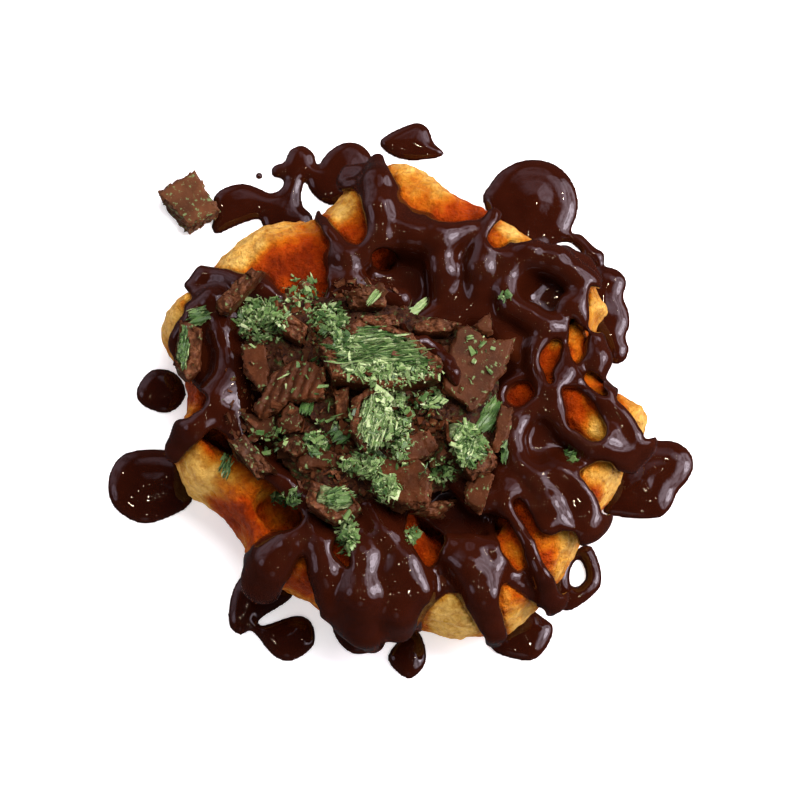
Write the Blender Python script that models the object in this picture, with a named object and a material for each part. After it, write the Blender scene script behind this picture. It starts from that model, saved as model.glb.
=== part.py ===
"""A liege waffle under chocolate sauce and a heap of broken mint chocolate.

Flat things are laid out as the eye sees them from the front, leaning a little from straight
above: (u, v) are millimetres right and up across that view, and sight() drops such a point
onto any height. The waffle rests on a crossing of its lower ridges, which is the origin.
"""

import math
import random

import bmesh
import bpy
from mathutils import Vector

MM = 0.001
GAP = 0.3  # left between neighbouring pieces, in mm like every size below

VIEW_LEAN = math.radians(17.0)
VIEW_DISTANCE = 800.0
VIEW_HEIGHT = 20.0

WAFFLE_THICKNESS = 27.0
RIM_HEIGHT = 12.0  # where the side bulges furthest
RIM_HEIGHT_LEAN = 0.07  # the bulge seen from the front is lower in front than behind
PITCH = 27.8
GRID_TURN = math.radians(40.5)
TOP_GRID = (17.7, 6.0)  # one pocket's middle, along the turned axes
TOP_MOUTH = 19.5
TOP_FLOOR = 14.5
TOP_DEPTH = 10.0
BASE_GRID = (PITCH / 2, PITCH / 2)
BASE_MOUTH = 14.5
BASE_FLOOR = 10.5
BASE_DEPTH = 7.0
POCKET_ROUNDING = 2.4
FLOOR_EASE = 1.6
SMALLEST_POCKET = 12.0
FACE_INSET = 4.5  # from the widest outline to where the face begins to round off
POCKET_REACH = 4  # pockets tried on each side of the first

SAUCE_THICKNESS = 2.2
SAUCE_NARROWS = 3.4  # the mouth of a pocket, once sauce lines it
POOL_LEVEL = 21.5
PUDDLE_HEIGHT = 3.0
PUDDLE_EDGE = 1.2

# Height and inset of each ring of the waffle's side.
WAFFLE_RINGS = ((0, 6.0), (2.5, 2.4), (7, 0.5), (13, 0), (19.5, 1.0), (24, 3.0), (27, 6.5))

WAFFLE_OUTLINE = (
    (-59, 19.5), (-56.5, 23.5), (-52.5, 26.5), (-48.5, 30.5), (-44.5, 34.5), (-39.5, 38.5),
    (-34.5, 42), (-27.5, 43.5), (-22, 44.5), (-16, 49), (-12.5, 54), (-8.5, 56.5),
    (-1, 59), (4.5, 57.5), (10, 54), (15.5, 50), (21.5, 47), (27, 44),
    (32.5, 39.5), (38.5, 35.5), (44, 33), (47.5, 29.5), (49.5, 25.5), (51.5, 22),
    (49, 18), (48, 14), (49.5, 9), (51, 3), (56, -0.5), (61, -3.5),
    (61.5, -8), (59, -13), (56, -17.5), (54.5, -22), (51, -28), (47, -32),
    (45, -37), (41, -44), (37, -49), (33, -54), (27.5, -58), (22, -59),
    (15.5, -60), (10, -59), (6, -58), (0, -58), (-6, -60), (-11, -59),
    (-16, -54), (-20.5, -52), (-25, -50), (-30, -47.5), (-35.5, -47), (-38.5, -43),
    (-39, -37.5), (-43, -31), (-48.5, -26.5), (-52.5, -24), (-55, -19.5), (-56, -14.5),
    (-55.5, -9), (-53, -4), (-53, 1), (-54, 5), (-56.5, 9.5), (-59, 14.5),
)

# Where the waffle shows bare through the sauce.
BARE_PATCHES = (
    ((-62.5, -16), (-56, -16), (-51, -11), (-46.5, -8), (-42.5, -12.5), (-34.5, -20),
     (-25, -28), (-27.5, -32.5), (-34.5, -36), (-39.5, -42.5), (-46, -44), (-59, -30)),
    ((-24.5, -38), (-23.5, -45), (-20, -53), (-25, -54.5), (-33.5, -49.5), (-28, -43.5)),
    ((-49, 34.5), (-43, 33), (-35.5, 33), (-31, 29.5), (-25.5, 25.5), (-20.5, 25.5),
     (-18.5, 29), (-19.5, 36), (-19, 40), (-22, 45), (-24, 49), (-34.5, 46), (-44, 40)),
    ((-20.5, 48), (-16.5, 43.5), (-12.5, 40), (-9.5, 40), (-9, 45), (-10, 50.5),
     (-12.5, 53), (-16, 51)),
    ((-4, 60.5), (-1, 55.5), (0, 51.5), (5, 48), (10, 45), (17.5, 45), (22.5, 47.5),
     (20, 52.5), (10, 59), (0, 64)),
    ((22, 40.5), (24, 43.5), (27.5, 46), (33, 41), (29, 40), (25, 38.5)),
    ((47, 27.5), (47, 22.5), (48, 18), (53, 19), (54, 25), (50, 28)),
    ((43, 20), (47, 17), (46, 12), (44, 10), (43, 14)),
    ((39, 15), (40, 12), (38, 7), (37, 4), (35, 9), (36.5, 12.5)),
    ((41, 3), (46, 0), (50.5, -5), (51, -8), (48, -10), (43, -7), (37.5, -4), (41.5, -3)),
    ((54, 1.5), (57.5, -3), (61, -9.5), (65, -7.5), (61, 0)),
    ((45, -18), (50.5, -16), (53.5, -17), (58, -18.5), (55.5, -26), (51, -29.5), (49, -23)),
    ((29.5, -26), (32.5, -29.5), (37, -34.5), (43, -33), (47, -39), (41, -49), (37, -42),
     (32, -35)),
    ((26, -46.5), (30.5, -49.5), (35.5, -52), (31, -60), (27, -58.5), (25.5, -52)),
    ((6, -58.5), (7.5, -53), (13, -49), (16, -53), (22, -60), (14, -64)),
    ((2.5, -29), (10, -33), (10, -37), (7, -41), (3, -36)),
    ((-59, 9), (-54, 6), (-48, 1), (-51, -3), (-54.5, -5), (-59, -2.5)),
    ((-52, 28), (-55, 21), (-58, 15.5), (-57, 9.5), (-62.5, 11), (-62.5, 25)),
)

# Sauce on the table round the waffle: the edge of each puddle, then the gaps inside it.
PUDDLES = {
    "puddle_top_left": [
        ((-47, 47.5), (-44.5, 53), (-39, 54), (-34, 52.5), (-29, 54), (-32, 57), (-30, 59.5),
         (-28, 62), (-25, 63.5), (-21, 60), (-17, 63), (-12.5, 64.5), (-7, 61), (-6, 54),
         (-15, 49), (-20, 50), (-23, 52.5), (-24, 54.5), (-25, 52), (-25, 48.5), (-22, 46),
         (-21, 42), (-33, 40), (-34.5, 44.5), (-40, 44), (-45.5, 42), (-47, 44.5)),
    ],
    "puddle_top_drop": [
        ((-5, 64), (-1, 67), (4, 69.5), (7, 68), (9, 64), (11, 62.5), (8, 60.5), (3, 60),
         (-3, 62)),
    ],
    "puddle_top_right": [
        ((20, 48), (22, 54.5), (27, 59), (34, 60.5), (41, 58), (44.5, 52.5), (44, 44.5),
         (43.5, 42), (50, 38), (51, 36), (50, 34), (46, 34.5), (42.5, 32), (35, 33), (26, 39)),
        ((37.5, 38), (41, 40), (44.5, 37), (41, 35.5)),
    ],
    "puddle_right": [
        ((48, 32), (51.5, 33.5), (55.5, 31.5), (57, 28), (55.5, 25), (57.5, 20.5), (57, 15.5),
         (57, 12), (54, 9), (52, 12.5), (49, 14), (45, 20), (45, 29)),
    ],
    "puddle_right_low": [
        ((60.5, -10), (67, -10), (71, -12.5), (73.5, -15.5), (70, -21), (67, -27), (60, -29.5),
         (51, -28), (50, -20), (54, -14)),
    ],
    "puddle_ring": [
        ((46, -36), (48.5, -37), (50.5, -43), (49.5, -47.5), (43, -52.3), (39.5, -51.5),
         (36, -47.5), (41, -40)),
        ((45, -39.5), (46.5, -44), (44, -46.5), (42.5, -45), (43, -41.5)),
    ],
    "puddle_bottom_right": [
        ((22, -59), (24, -63), (32.5, -65), (36.5, -62), (38.5, -57), (36.5, -54.5), (30, -51),
         (23, -54.5)),
    ],
    "puddle_bottom_drop": [
        ((-3, -65), (-1, -60.5), (4, -57), (6.5, -62), (6, -66.5), (2, -69.5)),
    ],
    "puddle_bottom": [
        ((-17, -54), (-16, -59.5), (-11, -63.5), (-4, -61), (-6, -56), (-12.5, -52.5)),
    ],
    "puddle_bottom_left": [
        ((-38.5, -43), (-42, -47.5), (-43, -55.5), (-40, -58.5), (-37, -57.5), (-32, -63.5),
         (-27, -65), (-21.5, -61), (-22, -55.5), (-26, -53.5), (-34, -56), (-35, -54.5),
         (-28, -50), (-27, -47.5), (-32.5, -44.5)),
    ],
    "puddle_left": [
        ((-52, -25), (-59, -29.5), (-65.5, -30.5), (-72, -26), (-73, -19), (-69, -13),
         (-59, -12), (-52.5, -15)),
    ],
    "puddle_left_drop": [
        ((-66, 3), (-62, 8), (-56, 7), (-53.5, 1.5), (-58, -3), (-64.5, -1)),
    ],
}

# Broken pieces, the highest first: outline, height of the upper face at its middle, its slopes
# along u and v, thickness, and for a filled one how far its filling reaches (scale, du, dv).
CHUNKS = {
    "slab": (((-20.5, 14), (-9.5, 21.5), (2, 17), (10.5, 10), (9, 5.5), (-3, 3), (-17, 5.5)),
             43, (0, 0.12), 8, (0.78, 0, 0)),
    "shard_large": (((12, 11.5), (14.5, 18), (17, 19), (22, 15), (29, 15.5), (26, 7),
                     (22, 2), (18.5, -3), (10.5, 3)), 37, (-0.1, 0.05), 2.4, None),
    "block_middle": (((-12, 0.5), (-6, 4), (-2.5, 0), (-2, -8.5), (-9, -12.5), (-12.5, -8)),
                     41, (0.05, 0.1), 9, (0.76, 0.9, 0)),
    "block_right": (((11.5, -5), (16.5, -5), (21, -9), (24.5, -14.5), (18, -20), (11.5, -9)),
                    39, (-0.05, 0.1), 8, (0.74, -0.6, 0.4)),
    "piece_centre": (((-1, -11), (6, -7), (9.5, -10.5), (6, -14.5), (0, -16)),
                     40, (-0.1, 0.15), 5, None),
    "block_low": (((-7, -14), (5, -14.5), (8, -19), (7, -26), (0, -26), (-7, -22.5)),
                  38.5, (0.1, 0.1), 8, None),
    "grooved": (((-37, -2.5), (-32, 7), (-26, 10.5), (-19, 8.5), (-19.5, 1), (-28, 0),
                 (-34, -4.5)), 38, (0.15, 0.1), 6, None),
    "piece_slab_left": (((-16.5, 3), (-12.7, 3), (-12.9, -4), (-16, -5.5)),
                        37, (0, 0.1), 6, None),
    "piece_top": (((-11, 21), (-1, 21.5), (0, 18.5), (-9, 19)), 38.5, (0, 0), 5, None),
    "piece_top_right": (((3, 18.5), (7, 21), (15, 19.5), (12, 17), (4, 16.5)),
                        38, (0, 0.1), 6, None),
    "piece_ribbed": (((-14, 27), (-4, 29.5), (-4, 23.5), (-12, 23)), 36.5, (0, 0.15), 6, None),
    "wedge": (((-32, 21), (-29, 23), (-23, 18.5), (-24.5, 14), (-29, 16.5)),
              38.5, (0, 0.2), 7, None),
    "piece_tall": (((-39.5, 14), (-34, 14), (-33, 3.5), (-35, 3), (-39, 8)),
                   37, (0.1, -0.1), 6, None),
    "finger": (((-46, 25), (-37, 33.5), (-34, 32), (-43, 22), (-45.5, 22.5)),
               36, (0.05, 0.1), 5, None),
    "piece_left": (((-31, -5), (-27, 0), (-25, -2), (-25, -7), (-29.5, -8)),
                   36, (0, 0.1), 5, None),
    "piece_low_left": (((-31.5, -11), (-26, -8.5), (-22, -12.5), (-26, -14)),
                       35.5, (0, 0.1), 5, None),
    "flake_left": (((-39.5, -3.5), (-31, -3.5), (-31, -9.5), (-37, -9.5)),
                   33.5, (0.05, 0.05), 2.4, None),
    "flake_low": (((-26, -13), (-15, -13), (-16, -17), (-25, -17.5)),
                  34, (0, 0.1), 3, None),
    "finger_low": (((-43, -10), (-39, -8.5), (-31, -17.5), (-36, -19)),
                   34.5, (-0.05, 0.1), 5, None),
    "block_bottom": (((-22.5, -20), (-12.5, -22.5), (-9.5, -27), (-16, -30.5), (-23, -26.5)),
                     37, (0, 0.1), 7, (0.7, 0.3, 0.8)),
    "shard_low": (((16.5, -20.5), (20, -18.5), (23.5, -18.5), (20.5, -28), (16, -24.5)),
                  35, (0.1, 0.1), 4, None),
    "shard_wet": (((23, -11.5), (25, -1), (28.5, -2), (27, -9), (24, -12.5)),
                  34.5, (0, 0.05), 3, None),
    "shard_top": (((18.5, 18.5), (22, 22.5), (23, 16.5), (20.5, 16.5)), 35, (0, 0), 3, None),
    "piece_low": (((2.5, -28), (9, -25), (13.5, -25.5), (9, -29)), 32.5, (0, 0.1), 4, None),
    "block_edge": (((-55, 20.5), (-49.5, 18), (-50, 8), (-53, 5.5), (-56.5, 9)),
                   32, (0.15, 0.1), 8, (0.5, -1.5, 0)),
}

STRAY_SQUARE = ((-60.5, 52), (-51.5, 57.5), (-45.5, 48), (-53, 43.5))
STRAY_THICKNESS = 6.5

HEAP_OUTLINE = (
    (-40, 20), (-33, 27), (-22, 27), (-12, 28), (0, 25), (12, 21), (22, 18), (26, 8),
    (27, -4), (26, -14), (20, -22), (11, -24), (2, -28), (-8, -30), (-20, -28), (-29, -20),
    (-35, -10), (-36, 2), (-41, 10),
)
HEAP_RINGS = ((17, 12.0), (22, 6.0), (29, 1.5), (32, 5.0), (34, 12.0))
HEAP_TOP = 35.2
HEAP_SEED = 11

# Where the mint and crumbs show between the pieces: middle, spread, crumbs and fibres.
CRUMB_SPOTS = (
    (-34.5, 20, 4.5, 5, 3), (-18, 20.5, 3, 2, 2), (-9, 24, 1, 0, 1), (4, 22.5, 1.5, 0, 2),
    (-23, -3, 1.5, 1, 1), (-15, -8, 1.5, 1, 0), (-0.5, -5, 3, 3, 2), (-21, -10.5, 2, 1, 1),
    (-9.5, -15.5, 3, 2, 1), (23, -5, 2, 1, 1), (4, 0, 2.5, 2, 1), (9, -3, 2.5, 1, 1),
    (8, -12, 3, 1, 1), (12, -21, 2.5, 1, 0), (-11, -19, 2, 1, 0),
)

SAUCE_COLOUR = (0.055, 0.014, 0.007)
BATTER_COLOUR = (0.52, 0.27, 0.075)
CHOCOLATE_COLOUR = (0.16, 0.055, 0.022)
MINT_COLOUR = (0.24, 0.34, 0.17)


def sight(u, v, height):
    """The place at this height that the point (u, v) of the view lies over."""
    lean, rise = math.sin(VIEW_LEAN), math.cos(VIEW_LEAN)
    eye = Vector((0, -VIEW_DISTANCE * lean, VIEW_HEIGHT + VIEW_DISTANCE * rise))
    seen = Vector((u, v * rise, VIEW_HEIGHT + v * lean))
    along = (height - eye.z) / (seen.z - eye.z)
    return eye + (seen - eye) * along


def rounded(outline, steps=2):
    """The closed outline with its corners eased, by a Catmull-Rom curve through its points."""
    points = [Vector(p) for p in outline]
    count = len(points)
    curve = []
    for i in range(count):
        a, b, c, d = (points[(i + k) % count] for k in (-1, 0, 1, 2))
        for step in range(steps):
            t = step / steps
            curve.append(
                0.5 * (2 * b + (c - a) * t + (2 * a - 5 * b + 4 * c - d) * t**2
                       + (3 * b - a - 3 * c + d) * t**3)
            )
    return curve


def middle_of(points):
    return sum((Vector(p) for p in points), Vector([0.0] * len(points[0]))) / len(points)


def pulled_in(points, inset):
    """The loop drawn towards its middle by inset, or out from it when inset is negative."""
    middle = middle_of(points)
    return [p + (middle - p).normalized() * inset for p in points]


def material(name, colour, roughness, metallic=0.0):
    made = bpy.data.materials.get(name) or bpy.data.materials.new(name)
    made.use_nodes = True
    shader = made.node_tree.nodes["Principled BSDF"]
    shader.inputs["Base Color"].default_value = (*colour, 1)
    shader.inputs["Roughness"].default_value = roughness
    shader.inputs["Metallic"].default_value = metallic
    return made


def batter():
    return material("waffle_batter", BATTER_COLOUR, 0.6)


def sauce_finish():
    return material("chocolate_sauce", SAUCE_COLOUR, 0.12)


def chocolate():
    return material("milk_chocolate", CHOCOLATE_COLOUR, 0.5)


def mint():
    return material("mint_filling", MINT_COLOUR, 0.55)


def new_object(name, mesh, collection):
    made = bpy.data.objects.new(name, mesh)
    collection.objects.link(made)
    return made


def loft(name, loops, collection):
    """A closed body skinned over loops of equal length, the lowest first, given in mm."""
    shape = bmesh.new()
    rings = [[shape.verts.new(Vector(p) * MM) for p in loop] for loop in loops]
    count = len(rings[0])
    for lower, upper in zip(rings, rings[1:]):
        for i in range(count):
            j = (i + 1) % count
            shape.faces.new((lower[i], lower[j], upper[j], upper[i]))
    shape.faces.new(rings[0][::-1])
    shape.faces.new(rings[-1])
    bmesh.ops.recalc_face_normals(shape, faces=shape.faces)
    bmesh.ops.triangulate(shape, faces=[f for f in shape.faces if len(f.verts) > 4])
    mesh = bpy.data.meshes.new(name)
    shape.to_mesh(mesh)
    shape.free()
    return new_object(name, mesh, collection)


def as_cutter(obj):
    obj.hide_render = True
    obj.display_type = "WIRE"
    return obj


def settle(obj):
    """Applies the modifiers, welds what they left doubled and keeps the largest body."""
    graph = bpy.context.evaluated_depsgraph_get()
    mesh = bpy.data.meshes.new_from_object(obj.evaluated_get(graph))
    obj.modifiers.clear()
    shape = bmesh.new()
    shape.from_mesh(mesh)
    bmesh.ops.remove_doubles(shape, verts=shape.verts, dist=2e-6)
    bmesh.ops.dissolve_degenerate(shape, edges=shape.edges, dist=1e-6)
    bmesh.ops.triangulate(shape, faces=shape.faces)
    keep_largest(shape)
    shape.to_mesh(mesh)
    shape.free()
    old = obj.data
    obj.data = mesh
    bpy.data.meshes.remove(old)
    return obj


def keep_largest(shape):
    unseen = set(shape.verts)
    bodies = []
    while unseen:
        body = set()
        front = [unseen.pop()]
        while front:
            vert = front.pop()
            body.add(vert)
            for edge in vert.link_edges:
                other = edge.other_vert(vert)
                if other in unseen:
                    unseen.remove(other)
                    front.append(other)
        bodies.append(body)
    bodies.sort(key=len)
    loose = [vert for body in bodies[:-1] for vert in body]
    bmesh.ops.delete(shape, geom=loose, context="VERTS")


def carve(target, cutters):
    for cutter in cutters:
        cut = target.modifiers.new("carve", "BOOLEAN")
        cut.operation = "DIFFERENCE"
        cut.solver = "EXACT"
        cut.object = cutter
    return settle(target)


def discard(objects):
    for obj in objects:
        bpy.data.objects.remove(obj)


def near(a, b, room=1.0):
    """Whether the boxes of two objects come within room mm of each other."""
    boxes = []
    for obj in (a, b):
        points = [v.co for v in obj.data.vertices]
        boxes.append([(min(p[i] for p in points), max(p[i] for p in points)) for i in range(3)])
    return all(
        low_a - room * MM < high_b and low_b - room * MM < high_a
        for (low_a, high_a), (low_b, high_b) in zip(*boxes)
    )


def grid_point(along, across):
    """A point given along the waffle iron's two turned axes."""
    cos, sin = math.cos(GRID_TURN), math.sin(GRID_TURN)
    return Vector((along * cos + across * sin, along * sin - across * cos, 0))


def plan_outline():
    """The waffle's widest outline, from its edge as the eye sees it."""
    return [sight(u, v, RIM_HEIGHT + RIM_HEIGHT_LEAN * v) for u, v in WAFFLE_OUTLINE]


def inside(point, outline):
    crossings = 0
    for a, b in zip(outline, outline[1:] + outline[:1]):
        if (a.y > point.y) != (b.y > point.y):
            x = a.x + (point.y - a.y) * (b.x - a.x) / (b.y - a.y)
            crossings += x > point.x
    return crossings % 2 == 1


def pocket_fits(n, d, width, face):
    half = width / 2 - POCKET_ROUNDING / 2
    corners = [grid_point(n + a * half, d + b * half) for a in (-1, 1) for b in (-1, 1)]
    return all(inside(corner, face) for corner in corners)


def pocket_places(first, mouth):
    """Each pocket's middle and mouth: full size on the waffle's face, smaller by its rim."""
    face = pulled_in(plan_outline(), FACE_INSET)
    places = []
    for i in range(-POCKET_REACH, POCKET_REACH + 1):
        for j in range(-POCKET_REACH, POCKET_REACH + 1):
            n, d, width = first[0] + i * PITCH, first[1] + j * PITCH, mouth
            while width >= SMALLEST_POCKET and not pocket_fits(n, d, width, face):
                width -= 0.5
            if width >= SMALLEST_POCKET:
                places.append((n, d, width))
    return places


def pocket_loop(n, d, width, height):
    """A rounded square across the iron's axes, at one height of a pocket."""
    half = width / 2
    ease = min(POCKET_ROUNDING, half * 0.6)
    corner = half - ease
    loop = []
    for quarter, (a, b) in enumerate(((1, 1), (-1, 1), (-1, -1), (1, -1))):
        for step in range(3):
            turn = math.radians(90 * quarter + 45 * step)
            point = grid_point(
                n + a * corner + ease * math.cos(turn), d + b * corner + ease * math.sin(turn)
            )
            loop.append(Vector((point.x, point.y, height)))
    return loop


def pockets(first, mouth, floor, narrow, face_height, depth, side, collection):
    """Cutters for one side: a tapered well with an eased floor for each pocket."""
    taper = mouth - floor
    past = 4.0
    cutters = []
    for n, d, width in pocket_places(first, mouth):
        top = width - narrow
        levels = (
            (face_height + past * side, top + taper / depth * past),
            (face_height - (depth - FLOOR_EASE) * side, top - taper + FLOOR_EASE / 2),
            (face_height - depth * side, top - taper - FLOOR_EASE),
        )
        loops = [pocket_loop(n, d, size, height) for height, size in levels]
        cutters.append(as_cutter(loft("pocket", loops, collection)))
    return cutters


def waffle_body(name, grow, collection):
    """The waffle without pockets, its skin moved out by grow."""
    outline = plan_outline()
    loops = []
    for height, inset in WAFFLE_RINGS:
        lift = grow * (2 * height / WAFFLE_THICKNESS - 1)
        ring = pulled_in(outline, inset - grow)
        loops.append([Vector((p.x, p.y, height + lift)) for p in ring])
    return loft(name, loops, collection)


def top_pockets(grow, collection):
    """The upper pockets, smaller where the skin moves out by grow."""
    return pockets(
        TOP_GRID, TOP_MOUTH, TOP_FLOOR, 2 * grow, WAFFLE_THICKNESS + grow, TOP_DEPTH, 1,
        collection,
    )


def make_waffle(parts, cutters):
    waffle = waffle_body("waffle", 0, parts)
    wells = top_pockets(0, cutters)
    wells += pockets(BASE_GRID, BASE_MOUTH, BASE_FLOOR, 0, 0, BASE_DEPTH, -1, cutters)
    carve(waffle, wells)
    discard(wells)
    waffle.data.materials.append(batter())
    return waffle


def sauce_surface(name, grow, collection, cutters):
    """The outer surface of the sauce as a solid reaching down through the waffle."""
    surface = waffle_body(name, SAUCE_THICKNESS + grow, collection)
    top = WAFFLE_THICKNESS + SAUCE_THICKNESS + grow
    wells = pockets(
        TOP_GRID, TOP_MOUTH, TOP_FLOOR, SAUCE_NARROWS + 2 * grow, top,
        top - POOL_LEVEL - grow, 1, cutters,
    )
    carve(surface, wells)
    discard(wells)
    return surface


def bare_patch(outline, collection):
    """A cutter along the line of sight over one bare patch of the waffle."""
    loop = rounded(outline)
    levels = (-10.0, 60.0)
    loops = [[sight(u, v, height) for u, v in loop] for height in levels]
    return as_cutter(loft("bare_patch", loops, collection))


def floor_block(collection, top):
    """A cutter that takes away everything lower than top."""
    half, depth = 120.0, 20.0
    square = [(-half, -half), (half, -half), (half, half), (-half, half)]
    loops = [[Vector((x, y, height)) for x, y in square] for height in (-depth, top)]
    return as_cutter(loft("floor_block", loops, collection))


def make_sauce(parts, cutters):
    sauce = sauce_surface("sauce", 0, parts, cutters)
    core = as_cutter(waffle_body("waffle_core", GAP, cutters))
    wells = top_pockets(GAP, cutters)
    carve(core, wells)
    discard(wells)
    windows = [bare_patch(outline, cutters) for outline in BARE_PATCHES]
    below = floor_block(cutters, PUDDLE_HEIGHT + GAP)
    carve(sauce, [below, core])
    carve(sauce, windows)
    discard(windows + [below, core])
    sauce.data.materials.append(sauce_finish())
    return sauce


def flat_pool(name, outlines, collection):
    """A puddle with an eased edge, lying on the table, from its edge and the gaps in it."""
    curve = bpy.data.curves.new(name, "CURVE")
    curve.dimensions = "2D"
    curve.fill_mode = "BOTH"
    for outline in outlines:
        points = [sight(u, v, PUDDLE_HEIGHT / 2) * MM for u, v in rounded(outline)]
        spline = curve.splines.new("POLY")
        spline.points.add(len(points) - 1)
        for slot, point in zip(spline.points, points):
            slot.co = (point.x, point.y, 0, 1)
        spline.use_cyclic_u = True
    curve.bevel_depth = PUDDLE_EDGE * MM
    curve.bevel_resolution = 0
    curve.offset = -PUDDLE_EDGE * MM
    curve.extrude = (PUDDLE_HEIGHT / 2 - PUDDLE_EDGE) * MM
    drawn = new_object(name + "_outline", curve, collection)
    drawn.location.z = PUDDLE_HEIGHT / 2 * MM
    bpy.context.view_layer.update()
    graph = bpy.context.evaluated_depsgraph_get()
    mesh = bpy.data.meshes.new_from_object(drawn.evaluated_get(graph))
    mesh.transform(drawn.matrix_world)
    shape = bmesh.new()
    shape.from_mesh(mesh)
    bmesh.ops.remove_doubles(shape, verts=shape.verts, dist=1e-6)
    bmesh.ops.recalc_face_normals(shape, faces=shape.faces)
    shape.to_mesh(mesh)
    shape.free()
    bpy.data.objects.remove(drawn)
    return new_object(name, mesh, collection)


def make_puddles(parts, cutters, stray):
    body = as_cutter(waffle_body("waffle_side", GAP, cutters))
    made = []
    for name, outlines in PUDDLES.items():
        pool = flat_pool(name, outlines, parts)
        carve(pool, [body] + ([stray] if near(pool, stray) else []))
        pool.data.materials.append(sauce_finish())
        made.append(pool)
    discard([body])
    return made


def chunk_loops(outline, height, slopes, thickness, grow=0.0):
    """Four loops of a broken piece: its lower and upper faces with an eased edge at each."""
    middle = middle_of(outline)
    ease = 0.6
    upper = []
    for u, v in outline:
        lift = slopes[0] * (u - middle[0]) + slopes[1] * (v - middle[1])
        upper.append(sight(u, v, height + lift))
    levels = (
        (thickness + grow, ease + 0.4), (thickness - ease + grow, 0.3), (ease - grow, 0),
        (-grow, ease),
    )
    loops = []
    for below, inset in levels:
        loop = pulled_in(upper, inset - grow)
        loops.append([Vector((p.x, p.y, p.z - below)) for p in loop])
    return loops


def filling_outline(outline, reach):
    scale, du, dv = reach
    middle = middle_of(outline)
    shift = Vector((du, dv))
    return [tuple(middle + shift + (Vector(p) - middle) * scale) for p in outline]


def through_loops(outline, height, slopes, thickness, grow, past):
    """Two loops right through a piece, for its filling or for the hole that it fills."""
    middle = middle_of(outline)
    upper = []
    for u, v in outline:
        lift = slopes[0] * (u - middle[0]) + slopes[1] * (v - middle[1])
        upper.append(sight(u, v, height + lift))
    loops = []
    for below in (thickness + past, -past):
        loop = pulled_in(upper, -grow)
        loops.append([Vector((p.x, p.y, p.z - below)) for p in loop])
    return loops


def make_filled(name, outline, height, slopes, thickness, reach, parts, cutters):
    """A piece broken across: a ring of chocolate and the mint running through it."""
    coat = loft(name, chunk_loops(outline, height, slopes, thickness), parts)
    inner = filling_outline(outline, reach)
    hole = as_cutter(
        loft("hole", through_loops(inner, height, slopes, thickness, 0, 2.0), cutters)
    )
    carve(coat, [hole])
    discard([hole])
    mint_loops = through_loops(inner, height, slopes, thickness, -GAP, -0.2)
    filling = loft(name + "_filling", mint_loops, parts)
    return coat, filling


def make_chunks(parts, cutters, under):
    """Every broken piece, each lower one cut clear of those above it and of the food under it."""
    placed = []
    for name, (outline, height, slopes, thickness, reach) in CHUNKS.items():
        if reach:
            coat, filling = make_filled(
                name, outline, height, slopes, thickness, reach, parts, cutters
            )
            pieces = [(coat, chocolate()), (filling, mint())]
        else:
            loops = chunk_loops(outline, height, slopes, thickness)
            pieces = [(loft(name, loops, parts), chocolate())]
        for piece, finish in pieces:
            above = [cutter for cutter in placed if near(piece, cutter)]
            carve(piece, above + ([under] if near(piece, under) else []))
            piece.data.materials.append(finish)
        grown = chunk_loops(outline, height, slopes, thickness, GAP)
        placed.append(as_cutter(loft(name + "_room", grown, cutters)))
    return placed


def heap_core(parts):
    outline = [sight(u, v, HEAP_RINGS[2][0]) for u, v in HEAP_OUTLINE]
    loops = []
    for height, inset in HEAP_RINGS:
        loops.append([Vector((p.x, p.y, height)) for p in pulled_in(outline, inset)])
    return loft("crumb_heap", loops, parts)


def heap_top(u, v):
    """Height that the crumbs lie at over a point of the view: just out of the mound."""
    span = max(abs(u + 7) / 34, abs(v) / 30)
    return HEAP_TOP - 4.5 * max(0.0, span - 0.45) / 0.55


def lump(spot, rng, collection):
    """A crumb: a squashed icosahedron with its corners pushed about."""
    shape = bmesh.new()
    size = rng.uniform(1.3, 2.6)
    bmesh.ops.create_icosphere(shape, subdivisions=1, radius=size * MM)
    for vert in shape.verts:
        vert.co *= rng.uniform(0.75, 1.2)
        vert.co.z *= 0.8
    return placed_crumb(shape, spot, rng, collection)


def shred(spot, rng, collection):
    """A fibre of the mint filling: a slim bar."""
    shape = bmesh.new()
    bmesh.ops.create_cube(shape, size=MM)
    length = rng.uniform(4.0, 7.5)
    for vert in shape.verts:
        vert.co.x *= length
        vert.co.y *= 1.6 if vert.co.x > 0 else 1.0
    turn = rng.uniform(0, math.pi)
    tilt = rng.uniform(-0.5, 0.5)
    for vert in shape.verts:
        x, y, z = vert.co
        x, z = x * math.cos(tilt) - z * math.sin(tilt), x * math.sin(tilt) + z * math.cos(tilt)
        vert.co = (x * math.cos(turn) - y * math.sin(turn),
                   x * math.sin(turn) + y * math.cos(turn), z)
    return placed_crumb(shape, spot, rng, collection)


def placed_crumb(shape, spot, rng, collection):
    """Sets one crumb down near a spot of the heap, its foot sunk into it."""
    u, v, spread = spot[:3]
    u += rng.uniform(-spread, spread)
    v += rng.uniform(-spread, spread)
    place = sight(u, v, heap_top(u, v)) * MM
    bmesh.ops.translate(shape, verts=shape.verts, vec=place)
    mesh = bpy.data.meshes.new("crumb")
    shape.to_mesh(mesh)
    shape.free()
    return new_object("crumb", mesh, collection)


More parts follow.
